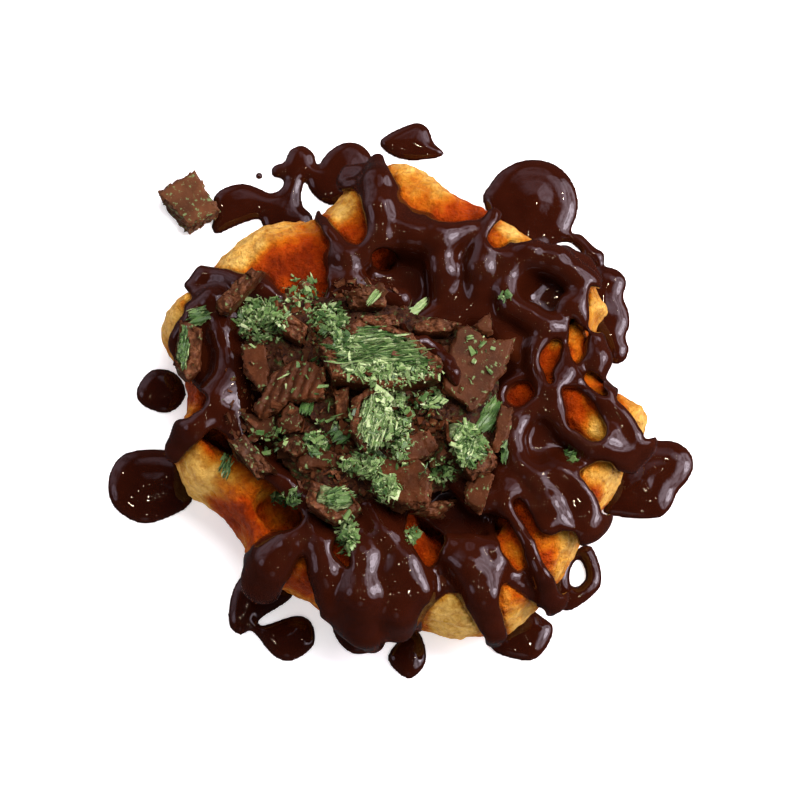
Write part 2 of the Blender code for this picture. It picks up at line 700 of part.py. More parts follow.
def make_heap(parts, cutters, rooms, under):
    """The crumbs between the pieces: one uneven mound with crumbs and fibres fused on."""
    rng = random.Random(HEAP_SEED)
    heap = heap_core(parts)
    crumbs = bpy.data.collections.new("crumbs")
    cutters.children.link(crumbs)
    loose = []
    for spot in CRUMB_SPOTS:
        loose += [lump(spot, rng, crumbs) for _ in range(spot[3])]
        loose += [shred(spot, rng, crumbs) for _ in range(spot[4])]
    for crumb in loose:
        as_cutter(crumb)
    join = heap.modifiers.new("crumbs", "BOOLEAN")
    join.operation = "UNION"
    join.solver = "EXACT"
    join.operand_type = "COLLECTION"
    join.collection = crumbs
    settle(heap)
    discard(loose)
    bpy.data.collections.remove(crumbs)
    carve(heap, rooms + [under])
    heap.data.materials.append(mint())
    return heap


def make_stray(parts):
    """The square that lies apart on the table."""
    top = [sight(u, v, STRAY_THICKNESS) for u, v in STRAY_SQUARE]
    ease = 0.7
    levels = ((0, ease), (ease, 0), (STRAY_THICKNESS - ease, 0), (STRAY_THICKNESS, ease))
    loops = []
    for height, inset in levels:
        loops.append([Vector((p.x, p.y, height)) for p in pulled_in(top, inset)])
    square = loft("square_stray", loops, parts)
    square.data.materials.append(chocolate())
    return square


def stray_room(cutters):
    top = [sight(u, v, STRAY_THICKNESS) for u, v in STRAY_SQUARE]
    grown = pulled_in(top, -GAP)
    loops = [[Vector((p.x, p.y, height)) for p in grown] for height in (-1, STRAY_THICKNESS + 1)]
    return as_cutter(loft("stray_room", loops, cutters))


def clear_scene():
    for obj in list(bpy.data.objects):
        bpy.data.objects.remove(obj)


def main():
    clear_scene()
    parts = bpy.data.collections.new("liege_waffle")
    cutters = bpy.data.collections.new("cutters")
    bpy.context.scene.collection.children.link(parts)
    bpy.context.scene.collection.children.link(cutters)
    make_waffle(parts, cutters)
    make_sauce(parts, cutters)
    make_stray(parts)
    stray = stray_room(cutters)
    make_puddles(parts, cutters, stray)
    under = as_cutter(sauce_surface("food_under", GAP, cutters, cutters))
    rooms = make_chunks(parts, cutters, under)
    make_heap(parts, cutters, rooms, under)
    discard(rooms + [under, stray])


main()
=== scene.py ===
"""The looks of a liege waffle under chocolate sauce and a heap of broken mint chocolate.

Sizes are millimetres until a mesh is made. (u, v) is a point of the view from the front,
millimetres right and up across it, as in the part's own source.
"""

import math

import bmesh
import bpy
import numpy as np
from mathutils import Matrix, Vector
from mathutils.bvhtree import BVHTree


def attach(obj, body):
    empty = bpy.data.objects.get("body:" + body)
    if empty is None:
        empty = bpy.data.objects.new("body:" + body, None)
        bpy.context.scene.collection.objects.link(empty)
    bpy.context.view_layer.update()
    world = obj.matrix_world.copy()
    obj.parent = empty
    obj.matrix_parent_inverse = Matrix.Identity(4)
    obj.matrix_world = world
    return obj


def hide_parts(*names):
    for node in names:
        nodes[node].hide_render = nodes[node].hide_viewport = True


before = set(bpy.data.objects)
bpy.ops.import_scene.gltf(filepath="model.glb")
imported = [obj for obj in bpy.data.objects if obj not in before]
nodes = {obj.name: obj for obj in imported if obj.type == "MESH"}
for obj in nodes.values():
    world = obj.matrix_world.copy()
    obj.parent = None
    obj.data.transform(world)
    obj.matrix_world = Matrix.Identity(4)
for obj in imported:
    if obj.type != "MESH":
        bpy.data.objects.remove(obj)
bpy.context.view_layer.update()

MM = 0.001
VIEW_ANGLE = math.radians(17.0)  # from straight above
LEAN, RISE = math.sin(VIEW_ANGLE), math.cos(VIEW_ANGLE)
DISTANCE = 800.0
VIEW_LEVEL = 20.0  # the view's own plane goes through this height
EYE = np.array([0.0, -DISTANCE * LEAN, VIEW_LEVEL + DISTANCE * RISE])
PICTURE_MIDDLE = 400
PIXELS_PER_MM = 4

THICKNESS = 27.0
RIM_HEIGHT = 12.0
RIM_HEIGHT_LEAN = 0.07
PITCH = 27.8
TURN = math.radians(40.5)
TURN_COS, TURN_SIN = math.cos(TURN), math.sin(TURN)
TOP_GRID = (17.7, 6.0)
TOP_MOUTH = 19.5
TOP_TAPER = 5.0
TOP_DEPTH = 10.0
BASE_GRID = (PITCH / 2, PITCH / 2)
BASE_MOUTH = 14.5
BASE_TAPER = 4.0
BASE_DEPTH = 7.0
SMALLEST = 12.0  # a pocket's mouth is cut down to this to fit in, and then left out
MOUTH_STEP = 0.5
CORNER_MARGIN = 1.2
WELL_ROUNDING = 3.0
FACE_INSET = 4.5
POOL_LEVEL = 23.2
ROPE_LIFT = 0.5
ROPE_FULLNESS = 1.05
COAT = 0.7  # the sauce's thickness on the sides
COAT_MORE = 0.35  # and on top, this much more
COAT_EDGE = 1.9  # the width over which it thins out
BEAD = 0.75  # along its edge
LOWEST = 0.02  # nothing solid dips below this, and no sauce below the next
SAUCE_LOWEST = 0.01
RING_HEIGHTS = (0, 2.5, 7, 13, 19.5, 24, 27, 32)
RING_INSETS = (6.0, 2.4, 0.5, 0, 1.0, 3.0, 6.5, 15.0)
STEP = 0.65  # the grid that the dough and sauce are worked out on
MAP_STEP = 0.5  # the map of where sauce covers the view
DRIP_STEP = 0.35

WAFFLE_OUTLINE = (
    (-59, 19.5), (-56.5, 23.5), (-52.5, 26.5), (-48.5, 30.5), (-44.5, 34.5), (-39.5, 38.5),
    (-34.5, 42), (-27.5, 43.5), (-22, 44.5), (-16, 49), (-12.5, 54), (-8.5, 56.5),
    (-1, 59), (4.5, 57.5), (10, 54), (15.5, 50), (21.5, 47), (27, 44),
    (32.5, 39.5), (38.5, 35.5), (44, 33), (47.5, 29.5), (49.5, 25.5), (51.5, 22),
    (49, 18), (48, 14), (49.5, 9), (51, 3), (56, -0.5), (61, -3.5),
    (61.5, -8), (59, -13), (56, -17.5), (54.5, -22), (51, -28), (47, -32),
    (45, -37), (41, -44), (37, -49), (33, -54), (27.5, -58), (22, -59),
    (15.5, -60), (10, -59), (6, -58), (0, -58), (-6, -60), (-11, -59),
    (-16, -54), (-20.5, -52), (-25, -50), (-30, -47.5), (-35.5, -47), (-38.5, -43),
    (-39, -37.5), (-43, -31), (-48.5, -26.5), (-52.5, -24), (-55, -19.5), (-56, -14.5),
    (-55.5, -9), (-53, -4), (-53, 1), (-54, 5), (-56.5, 9.5), (-59, 14.5),
)


def picked(x, y):
    """The point (u, v) of the view at a pixel of the picture."""
    return (x - PICTURE_MIDDLE) / PIXELS_PER_MM, (PICTURE_MIDDLE - y) / PIXELS_PER_MM


# Where the dough shows bare through the sauce, in pixels of the picture.
BARE = [[picked(x, y) for x, y in patch] for patch in (
    ((150, 465), (176, 463), (186, 456), (196, 445), (206, 435), (214, 431), (223, 438), (230, 450),
     (234, 458), (246, 468), (262, 479), (274, 490), (290, 502), (300, 512), (301, 522), (290, 530),
     (272, 530), (254, 540), (242, 555), (234, 570), (222, 570), (200, 540), (160, 510)),
    ((303, 555), (304, 566), (306, 580), (312, 596), (320, 612), (300, 615), (280, 604), (283, 594),
     (289, 580), (297, 565)),
    ((216, 267), (228, 268), (242, 270), (258, 267), (270, 272), (276, 282), (284, 292), (298, 298),
     (318, 300), (327, 285), (324, 272), (322, 255), (326, 244), (320, 232), (312, 222), (312, 214),
     (300, 214), (262, 222), (230, 245), (205, 262)),
    ((328, 216), (334, 226), (342, 234), (350, 241), (358, 244), (363, 238), (364, 226), (362, 212),
     (359, 198), (352, 190), (345, 191), (338, 199), (325, 205), (322, 214)),
    ((384, 150), (384, 158), (389, 168), (396, 178), (402, 187), (401, 195), (408, 202), (420, 208),
     (433, 213), (441, 219), (455, 221), (470, 219), (480, 215), (488, 210), (490, 203), (470, 190),
     (440, 172), (400, 150)),
    ((486, 238), (491, 230), (499, 224), (505, 219), (515, 222), (532, 240), (520, 241), (511, 239),
     (504, 245), (495, 247), (488, 243)),
    ((590, 288), (589, 300), (589, 314), (590, 327), (600, 330), (615, 318), (610, 300),
     (596, 288)),
    ((572, 320), (577, 328), (588, 333), (586, 340), (583, 352), (578, 360), (573, 356),
     (571, 342)),
    ((556, 341), (559, 345), (557, 355), (553, 365), (551, 375), (553, 381), (549, 383), (545, 372),
     (541, 362), (543, 352), (550, 344)),
    ((563, 388), (574, 390), (584, 399), (595, 410), (602, 421), (605, 432), (598, 440), (588, 438),
     (578, 430), (568, 424), (566, 417), (568, 408), (564, 398)),
    ((618, 396), (626, 408), (634, 419), (641, 430), (646, 440), (660, 430), (640, 395)),
    ((579, 473), (590, 467), (602, 463), (610, 464), (615, 470), (626, 473), (640, 480), (620, 510),
     (603, 516), (600, 504), (595, 492), (586, 482)),
    ((514, 503), (522, 501), (530, 517), (540, 533), (550, 538), (562, 533), (573, 534), (578, 546),
     (590, 560), (565, 592), (558, 589), (554, 576), (547, 566), (539, 553), (534, 540), (528, 528),
     (520, 515)),
    ((503, 586), (511, 589), (522, 598), (538, 607), (545, 615), (520, 640), (508, 634), (504, 618),
     (502, 600)),
    ((425, 632), (427, 620), (432, 610), (441, 602), (451, 596), (457, 600), (464, 612), (474, 626),
     (485, 640), (470, 650), (430, 645)),
    ((411, 515), (424, 524), (440, 533), (443, 541), (437, 555), (429, 565), (421, 557), (414, 544),
     (409, 530)),
    ((333, 545), (340, 540), (347, 545), (349, 560), (348, 567), (340, 560), (333, 552)),
    ((160, 368), (170, 368), (182, 372), (190, 383), (199, 392), (207, 397), (202, 406), (193, 413),
     (184, 419), (165, 412)),
    ((190, 294), (184, 303), (180, 315), (173, 326), (168, 338), (168, 350), (172, 362), (150, 350),
     (150, 310), (175, 285)),
    ((508, 396), (512, 388), (520, 384), (530, 388), (534, 394), (530, 401), (520, 405),
     (511, 402)),
    ((375, 252), (384, 249), (393, 253), (395, 262), (389, 269), (380, 270), (374, 263)),
    ((588, 371), (596, 375), (602, 386), (607, 395), (599, 392), (590, 385), (585, 378)),
    ((496, 521), (508, 522), (513, 532), (519, 544), (523, 556), (523, 567), (516, 568), (507, 556),
     (500, 540)),
)]

# Ropes and lobes of sauce: (x, y, height, radius) along each, x and y in pixels.
ROPES = (
    ((380, 166, 21, 3.2), (379, 185, 25.5, 4.4), (380, 210, 27, 4.6), (382, 238, 27, 4.2)),
    ((344, 182, 20, 1.5), (349, 173, 20, 1.5), (360, 173, 21, 1.6), (366, 180, 22, 1.8)),
    ((344, 182, 20, 1.4), (350, 189, 22, 1.3), (362, 188, 23, 1.4)),
    ((385, 225, 27, 4.2), (410, 236, 27, 4.2), (440, 240, 27, 4.6), (468, 232, 27, 3.6)),
    ((493, 216, 27.5, 2.1), (491, 230, 27.5, 2.4), (488, 250, 27.5, 3.6), (482, 270, 27.5, 4.2)),
    ((480, 268, 27, 3.8), (480, 292, 26, 2.8), (478, 316, 24, 2.2)),
    ((440, 250, 27, 3.6), (443, 272, 26.5, 3.5), (441, 290, 25, 3.2)),
    ((505, 262, 27.5, 3.4), (530, 255, 27.5, 3.6), (556, 262, 27, 3.6), (574, 276, 26, 3.4)),
    ((574, 276, 26.5, 3.4), (585, 285, 25.5, 3.4), (580, 303, 26.5, 3.0), (566, 314, 27, 2.6)),
    ((510, 270, 27.5, 3.0), (505, 290, 27.5, 2.8), (512, 308, 27.5, 3.0), (530, 318, 27.5, 3.2)),
    ((566, 305, 27, 2.4), (576, 312, 27, 2.2), (585, 322, 26, 2.2), (592, 332, 24, 2.4)),
    ((530, 318, 27.5, 3.2), (545, 328, 27.5, 3.0), (566, 330, 27, 2.6)),
    ((548, 328, 27.5, 2.8), (538, 350, 27.5, 2.4), (538, 370, 27.5, 2.4), (546, 388, 27.5, 3.0)),
    ((595, 345, 24, 2.8), (597, 360, 24, 3.2), (594, 374, 24.5, 2.6)),
    ((568, 355, 27, 2.4), (566, 375, 27.5, 2.8), (556, 392, 27.8, 3.2), (556, 410, 27.8, 3.0)),
    ((546, 388, 27.5, 3.0), (530, 410, 27.5, 2.4), (520, 425, 27.5, 2.6)),
    ((588, 385, 26, 2.4), (602, 400, 26, 3.4), (621, 420, 23.6, 5.4), (630, 440, 22.6, 6.0),
     (621, 460, 22, 4.8)),
    ((605, 440, 26.5, 4.0), (620, 452, 25, 3.6)),
    ((548, 412, 27.5, 2.8), (568, 428, 27.5, 3.2), (592, 446, 27, 3.6), (606, 452, 26, 3.6)),
    ((512, 420, 27.5, 2.8), (512, 445, 27.5, 2.8), (520, 468, 27.5, 3.2), (535, 480, 27.5, 3.4)),
    ((535, 480, 27.5, 3.4), (560, 476, 27.5, 3.4), (584, 486, 26.5, 3.8), (594, 506, 24.5, 3.6),
     (586, 526, 24.5, 3.6), (568, 540, 24, 3.0)),
    ((535, 482, 27.5, 3.2), (548, 505, 27.5, 3.6), (562, 528, 26, 3.2)),
    ((500, 478, 27.5, 2.8), (512, 492, 27.5, 2.6), (528, 508, 27.5, 2.4), (545, 528, 27.5, 2.6)),
    ((505, 500, 27.5, 3.0), (512, 520, 27.2, 2.4), (530, 545, 27, 2.8), (545, 572, 26, 3.4),
     (550, 596, 20, 3.9), (549, 604, 13, 3.0)),
    ((450, 555, 27.5, 3.4), (470, 568, 27.5, 4.6), (485, 595, 26.5, 5.0), (493, 622, 21, 4.6),
     (494, 634, 13, 3.2)),
    ((500, 560, 27.5, 3.0), (488, 575, 27.5, 3.6)),
    ((455, 480, 27.5, 2.8), (478, 500, 27.5, 3.0), (500, 498, 27.5, 2.8)),
    ((448, 545, 27.5, 3.0), (470, 548, 27.5, 3.0), (495, 552, 27.5, 3.2)),
    ((303, 505, 26.5, 2.6), (307, 526, 27, 3.0), (293, 545, 25.8, 4.8), (275, 565, 23, 5.8),
     (267, 577, 19.5, 5.4), (262, 583, 18.5, 4.8)),
    ((310, 530, 27, 3.2), (322, 548, 27.5, 3.8), (326, 572, 26.5, 4.4), (335, 600, 23.5, 4.6),
     (350, 622, 17, 4.0)),
    ((370, 510, 27.5, 3.6), (385, 540, 27.5, 4.4), (405, 565, 27.5, 4.8), (418, 590, 26.5, 4.2)),
    ((350, 525, 27.5, 3.0), (362, 560, 27.5, 4.8), (362, 595, 26.5, 5.6), (366, 625, 20, 5.2),
     (372, 640, 12, 3.2)),
    ((395, 580, 27, 5.0), (398, 608, 24, 5.0), (398, 626, 18, 4.0)),
    ((193, 290, 22, 2.6), (206, 277, 23, 2.6), (226, 276, 25, 2.4), (240, 285, 26.5, 2.6)),
    ((240, 285, 27, 2.6), (262, 290, 27.3, 2.4), (278, 300, 27.3, 2.4)),
    ((212, 300, 27, 3.2), (192, 318, 25.5, 3.0), (178, 338, 23, 2.6), (176, 358, 21, 2.4)),
    ((215, 305, 27, 3.2), (222, 335, 27.3, 2.6), (227, 362, 27.3, 2.6), (222, 385, 27.5, 3.6)),
    ((232, 380, 27.5, 3.8), (217, 403, 27, 5.2), (199, 430, 25.5, 5.6), (183, 450, 22, 4.4)),
    ((238, 392, 27.5, 3.2), (236, 425, 27.5, 3.0), (246, 455, 27.2, 2.8), (265, 472, 27, 2.6)),
    ((262, 470, 27, 2.6), (285, 484, 27, 2.6), (302, 500, 27, 2.8)),
    ((325, 215, 22.5, 2.0), (330, 236, 26.5, 2.6), (345, 258, 27.3, 3.2), (350, 275, 27.3, 3.0)),
    ((352, 262, 27.5, 3.0), (366, 252, 27.5, 3.0), (380, 240, 27.5, 3.6)),
    ((330, 285, 27.3, 2.6), (352, 285, 27.3, 2.8), (400, 300, 27, 3.0)),
    ((565, 255, 24, 2.4), (582, 266, 22, 2.4), (593, 278, 20, 2.2)),
    ((552, 476, 22.5, 6.5), (572, 494, 22.5, 7.2), (586, 514, 21.5, 6.4)),
    ((520, 425, 20.5, 6.0), (540, 440, 20, 6.5), (530, 465, 20.5, 6.0)),
    ((492, 255, 22.5, 6.5), (500, 275, 22, 6.5)), ((410, 238, 22.5, 6.2), (445, 243, 22.5, 6.2)),
    ((380, 560, 23, 6.6), (382, 600, 21.5, 6.6)),
)

# Puddles round the waffle: height, edge width, then the edge and any gap, as in the part.
PUDDLES = {
    "puddle_top_left": (2.2, 3.8, [
        ((-46.6, 46.7), (-47.2, 43.6), (-46, 41.9), (-43.5, 42.8), (-40, 44.3), (-35.3, 45.6),
         (-34, 43), (-30, 40), (-22, 41), (-22, 46.5), (-24.2, 48.8), (-24.6, 52.2), (-23.6, 55),
         (-22.6, 52.8), (-19.4, 49.8), (-15.2, 49.3), (-6, 53), (-5.5, 57), (-6.8, 60.8),
         (-9, 63.8),
         (-12.5, 65), (-15.9, 64), (-18.7, 61.7), (-20.6, 59.2), (-21.6, 62.2), (-24.5, 64.1),
         (-27.6, 62.9), (-29, 60), (-31.8, 58.9), (-32, 56.4), (-29.2, 55.4), (-29.9, 53.2),
         (-32.5, 52.2), (-35.3, 53.4), (-39.4, 54.6), (-44.2, 53.4), (-46.8, 50.8))]),
    "puddle_top_drop": (1.9, 3.2, [
        ((-5.2, 64.7), (-2.9, 67), (1.3, 69), (4.5, 69.8), (7.1, 68.4), (8.5, 64.8), (11, 62.5),
         (10.2, 61.2), (6.6, 60.5), (1.3, 60.4), (-2.9, 62))]),
    "puddle_top_right": (2.5, 6.5, [
        ((20.8, 50), (22.4, 54.2), (25.5, 57.9), (30.8, 60.4), (37.1, 60.1), (41.9, 56.9),
         (44.4, 51.8), (44.4, 46.8), (42.9, 42.6), (45.5, 41.8), (48.7, 38.7), (50.9, 37.4),
         (51.2, 35.2), (49.7, 33.8), (46.6, 35), (44, 34.5), (40, 32), (35, 33), (26, 39)),
        ((37.1, 37.9), (41.3, 40), (44.3, 38.4), (45.3, 36.6), (42.4, 35.9), (39.2, 36.1))]),
    "puddle_right": (2.3, 4.2, [
        ((47.5, 30.6), (49, 32.9), (51.9, 33.7), (55.1, 32.6), (56.8, 29.9), (56, 26.2),
         (57.3, 22.6), (57.6, 19), (56.5, 16.1), (57.4, 13.2), (56.3, 10.2), (53.7, 9.3),
         (52, 11.4), (50.8, 14.3), (48.6, 16.1), (45.6, 20), (45, 28))]),
    "puddle_right_low": (2.5, 6.0, [
        ((61.2, -9.8), (64.9, -9.7), (69.2, -10.1), (72.6, -12.6), (73.6, -16.4), (71.9, -20.1),
         (69.4, -23), (68.2, -26), (65.6, -28.9), (60.5, -29.5), (54.8, -28.9), (51, -27.7),
         (50, -20), (54, -14))]),
    "puddle_ring": (2.1, 3.0, [
        ((46, -36), (48.5, -37), (50.5, -43), (49.5, -47.5), (43, -52.3), (39.5, -51.5),
         (36, -47.5), (41, -40)),
        ((45, -39.5), (46.5, -44), (44, -46.5), (42.5, -45), (43, -41.5))]),
    "puddle_bottom_right": (2.3, 4.2, [
        ((22, -59), (24, -63), (32.5, -65), (36.5, -62), (38.5, -57), (36.5, -54.5), (30, -51),
         (23, -54.5))]),
    "puddle_bottom_drop": (2.2, 4.2, [
        ((-3, -65), (-1, -60.5), (4, -57), (6.5, -62), (6, -66.5), (2, -69.5))]),
    "puddle_bottom": (2.1, 3.6, [
        ((-17, -54), (-16, -59.5), (-11, -63.5), (-4, -61), (-6, -56), (-12.5, -52.5))]),
    "puddle_bottom_left": (2.3, 3.8, [
        ((-38.5, -43), (-42, -47.5), (-43, -55.5), (-40, -58.5), (-37, -57.5), (-32, -63.5),
         (-27, -65), (-21.5, -61), (-22, -55.5), (-26, -53.5), (-34, -56), (-35, -54.5),
         (-28, -50), (-27, -47.5), (-32.5, -44.5))]),
    "puddle_left": (2.5, 6.5, [
        ((-52, -25), (-59, -29.5), (-65.5, -30.5), (-72, -26), (-73, -19), (-69, -13),
         (-59, -12), (-52.5, -15))]),
    "puddle_left_drop": (2.2, 4.6, [
        ((-66, 3), (-62, 8), (-56, 7), (-53.5, 1.5), (-58, -3), (-64.5, -1))]),
}
DROPLET = (-35.2, 56.0, 0.9, 0.7)  # u, v, radius, height
STRAY = ((-60.5, 52), (-51.5, 57.5), (-45.5, 48), (-53, 43.5))

# Browned dough: x, y, radius in pixels, strength. Below nought is paler.
BROWNED = (
    (236, 512, 26, 0.9), (252, 530, 18, 0.6), (222, 492, 16, 0.5), (214, 446, 10, 0.8),
    (196, 478, 16, -0.6), (268, 505, 16, -0.1), (195, 500, 18, -0.5),
    (268, 264, 20, 0.7), (290, 268, 18, 0.8), (308, 240, 18, 0.7), (312, 275, 20, 0.9),
    (235, 255, 18, -0.6), (255, 240, 16, -0.5), (340, 208, 12, -0.5), (350, 228, 14, 0.3),
    (412, 178, 18, -0.6), (430, 190, 14, -0.3), (455, 208, 18, 0.8), (476, 212, 12, 0.7),
    (496, 236, 12, 0.3), (512, 232, 10, -0.4), (580, 345, 14, 0.5), (549, 362, 14, 0.6),
    (585, 415, 16, 0.7), (572, 400, 12, 0.6), (640, 425, 14, -0.5), (596, 475, 14, -0.2),
    (618, 480, 16, -0.4), (596, 492, 10, 0.7), (522, 515, 12, 0.6), (545, 545, 14, -0.3),
    (570, 545, 12, -0.5), (560, 575, 12, -0.2), (512, 605, 16, -0.5), (525, 615, 16, -0.4),
    (450, 620, 22, -0.6), (440, 605, 10, 0.1), (425, 545, 20, 0.9), (341, 553, 14, 0.8),
    (192, 392, 16, 1.0), (178, 320, 20, -0.7), (305, 585, 16, 0.3), (285, 595, 14, 0.0),
    (520, 395, 14, 0.8), (384, 260, 14, 0.7), (600, 305, 12, -0.1), (598, 385, 12, 0.4),
    (414, 180, 12, 0.9), (548, 547, 14, 0.5), (515, 605, 13, 0.75), (306, 250, 12, 0.5),
    (560, 520, 10, -0.4), (545, 560, 9, 0.5), (570, 585, 9, 0.7), (520, 630, 9, -0.3),
    (250, 240, 14, -0.2), (200, 480, 16, -0.2), (450, 625, 16, -0.2), (605, 478, 12, -0.1),
    (425, 200, 16, 0.4), (400, 165, 12, 0.3), (605, 478, 10, 0.25), (582, 415, 10, 0.1),
    (450, 618, 14, -0.1), (575, 572, 8, 0.5), (236, 512, 12, 0.2), (200, 540, 14, 0.1),
    (270, 490, 26, 0.3), (284, 522, 20, 0.15), (300, 575, 20, 0.5), (596, 428, 15, -0.75),
    (590, 412, 14, -0.4), (563, 392, 14, 0.35),
)


def sight(u, v, height):
    """The place at this height that the point (u, v) of the view lies over."""
    seen = np.array([u, v * RISE, VIEW_LEVEL + v * LEAN])
    along = (height - EYE[2]) / (seen[2] - EYE[2])
    return EYE + (seen - EYE) * along


def view_point(x, y, z):
    """(u, v) of the view for places in space."""
    y, z = y - EYE[1], z - EYE[2]
    depth = y * LEAN - z * RISE
    return x * DISTANCE / depth, (y * RISE + z * LEAN) * DISTANCE / depth


def rounded(outline, steps=3):
    """The closed outline as a Catmull-Rom curve through its points."""
    p = np.array(outline, float)
    a, b, c, d = np.roll(p, 1, 0), p, np.roll(p, -1, 0), np.roll(p, -2, 0)
    curve = []
    for step in range(steps):
        t = step / steps
        curve.append(0.5 * (2 * b + (c - a) * t + (2 * a - 5 * b + 4 * c - d) * t**2
                            + (3 * b - a - 3 * c + d) * t**3))
    return np.stack(curve, 1).reshape(-1, p.shape[1])


def outline_distance(x, y, outline):
    """Signed distance to a closed outline, negative inside."""
    best = np.full(x.shape, 1e9)
    crossings = np.zeros(x.shape, int)
    for (ax, ay), (bx, by) in zip(outline, np.roll(outline, -1, 0)):
        dx, dy = bx - ax, by - ay
        length = dx * dx + dy * dy
        if length < 1e-12:
            continue
        t = np.clip(((x - ax) * dx + (y - ay) * dy) / length, 0, 1)
        best = np.minimum(best, (x - ax - t * dx) ** 2 + (y - ay - t * dy) ** 2)
        spans = (ay > y) != (by > y)
        crossings += spans & (x < ax + (y - ay) * dx / (dy if dy else 1e-12))
    return np.where(crossings % 2 == 1, -1, 1) * np.sqrt(best)


def smooth_min(a, b, k):
    """The lower of two fields, melted together over a width of k."""
    h = np.clip(k - np.abs(a - b), 0, None) / k
    return np.minimum(a, b) - h * h * k / 4


def smooth_max(a, b, k):
    return -smooth_min(-a, -b, k)


def lattice(i, j, k, seed):
    """A random number from -1 to 1 for each whole place."""
    h = (i * 73856093) ^ (j * 19349663) ^ (k * 83492791) ^ (seed * 2654435)
    h = (h ^ (h >> 13)) * 1274126177
    h = (h ^ (h >> 16)) & 0xFFFF
    return h / 32767.5 - 1


def corner_shares(f):
    """The 8 corners of a cell, each with its share at the places f (n, 3) within the cell."""
    for corner in np.ndindex(2, 2, 2):
        x, y, z = (f[:, axis] if far else 1 - f[:, axis] for axis, far in enumerate(corner))
        yield corner, x * y * z


def noise(p, scale, seed=1):
    """Smooth noise from -1 to 1 at places p (n, 3), with features about scale across."""
    q = np.asarray(p, float) / scale
    base = np.floor(q).astype(np.int64)
    f = q - base
    return sum(share * lattice(*(base + corner).T, seed)
               for corner, share in corner_shares(f * f * (3 - 2 * f)))


def flat_noise(x, y, scale, seed):
    """Smooth noise over a flat map."""
    flat = np.stack([x.ravel(), y.ravel(), np.zeros(x.size)], 1)
    return noise(flat, scale, seed).reshape(x.shape)


def blurred(field, sigma):
    """The field softened by sigma cells along every axis."""
    reach = int(math.ceil(2.5 * sigma))
    weights = np.exp(-0.5 * (np.arange(-reach, reach + 1) / sigma) ** 2)
    weights /= weights.sum()
    for axis in range(field.ndim):
        padded = np.pad(field, [(reach, reach) if a == axis else (0, 0)
                                for a in range(field.ndim)], mode="edge")
        size = field.shape[axis]
        field = sum(w * np.take(padded, range(i, i + size), axis)
                    for i, w in enumerate(weights)).astype(np.float32)
    return field


def skin(field, low, step):
    """Corners and four-sided faces of the surface where the field is nought, by surface nets."""
    inside = field < 0
    shape = tuple(n - 1 for n in field.shape)
    corners = [(i, j, k) for i in (0, 1) for j in (0, 1) for k in (0, 1)]

    def cells(array, corner):
        return array[tuple(slice(c, c + n) for c, n in zip(corner, shape))]

    count = sum(cells(inside, c).astype(np.uint8) for c in corners)
    active = (count > 0) & (count < 8)
    index = np.full(shape, -1, np.int64)
    index[active] = np.arange(active.sum())
    values = np.stack([cells(field, c)[active] for c in corners], 1).astype(float)
    places = np.array(corners, float)
    total = np.zeros((len(values), 3))
    crossed = np.zeros(len(values))
    for a in range(8):
        for b in range(a + 1, 8):
            if np.abs(places[a] - places[b]).sum() != 1:
                continue
            va, vb = values[:, a], values[:, b]
            cut = (va < 0) != (vb < 0)
            t = np.where(cut, va / np.where(cut, va - vb, 1), 0)
            total += cut[:, None] * (places[a] + t[:, None] * (places[b] - places[a]))
            crossed += cut
    verts = np.argwhere(active) + total / crossed[:, None]
    faces = []
    for axis in range(3):
        one, two = [a for a in range(3) if a != axis]
        ends = [slice(1, n - 1) for n in field.shape]
        ends[axis] = slice(0, field.shape[axis] - 1)
        nexts = list(ends)
        nexts[axis] = slice(1, field.shape[axis])
        first, second = inside[tuple(ends)], inside[tuple(nexts)]
        for leaving in (True, False):
            at = np.argwhere((first & ~second) if leaving else (~first & second))
            at[:, one] += 1
            at[:, two] += 1
            ring = []
            for da, db in ((-1, -1), (0, -1), (0, 0), (-1, 0)):
                cell = at.copy()
                cell[:, one] += da
                cell[:, two] += db
                ring.append(index[cell[:, 0], cell[:, 1], cell[:, 2]])
            if leaving == (axis == 1):
                ring = ring[::-1]
            faces.append(np.stack(ring, 1))
    return verts * step + np.array(low), np.concatenate(faces)


def smoothed(verts, faces, rounds):
    """The corners evened out along the surface, without shrinking it."""
    count = np.zeros(len(verts))
    ends = [(faces[:, k], faces[:, (k + 1) % 4]) for k in range(4)]
    for a, b in ends:
        count += np.bincount(a, minlength=len(verts)) + np.bincount(b, minlength=len(verts))
    for _ in range(rounds):
        for share in (0.5, -0.52):
            total = np.zeros_like(verts)
            for a, b in ends:
                for axis in range(3):
                    total[:, axis] += np.bincount(a, verts[b, axis], len(verts))
                    total[:, axis] += np.bincount(b, verts[a, axis], len(verts))
            verts = verts + share * (total / count[:, None] - verts)
    return verts


def placed(name, data):
    """A new object in the scene."""
    made = bpy.data.objects.new(name, data)
    bpy.context.scene.collection.objects.link(made)
    return made


def mark(obj, name, values):
    """Keeps a number for each corner of a piece, for its look."""
    obj.data.attributes.new(name, "FLOAT", "POINT").data.foreach_set(
        "value", np.asarray(values, np.float32))


def make_mesh(name, verts, faces, marks=None, smooth=True):
    """An object from corners in millimetres."""
    faces = np.asarray(faces)
    mesh = bpy.data.meshes.new(name)
    mesh.vertices.add(len(verts))
    mesh.vertices.foreach_set("co", (np.asarray(verts, float) * MM).astype(np.float32).ravel())
    sides = faces.shape[1]
    mesh.loops.add(faces.size)
    mesh.loops.foreach_set("vertex_index", faces.astype(np.int32).ravel())
    mesh.polygons.add(len(faces))
    mesh.polygons.foreach_set("loop_start", np.arange(0, faces.size, sides, dtype=np.int32))
    mesh.polygons.foreach_set("use_smooth", np.full(len(faces), smooth))
    mesh.update(calc_edges=True)
    made = placed(name, mesh)
    for key, values in (marks or {}).items():
        mark(made, key, values)
    return made


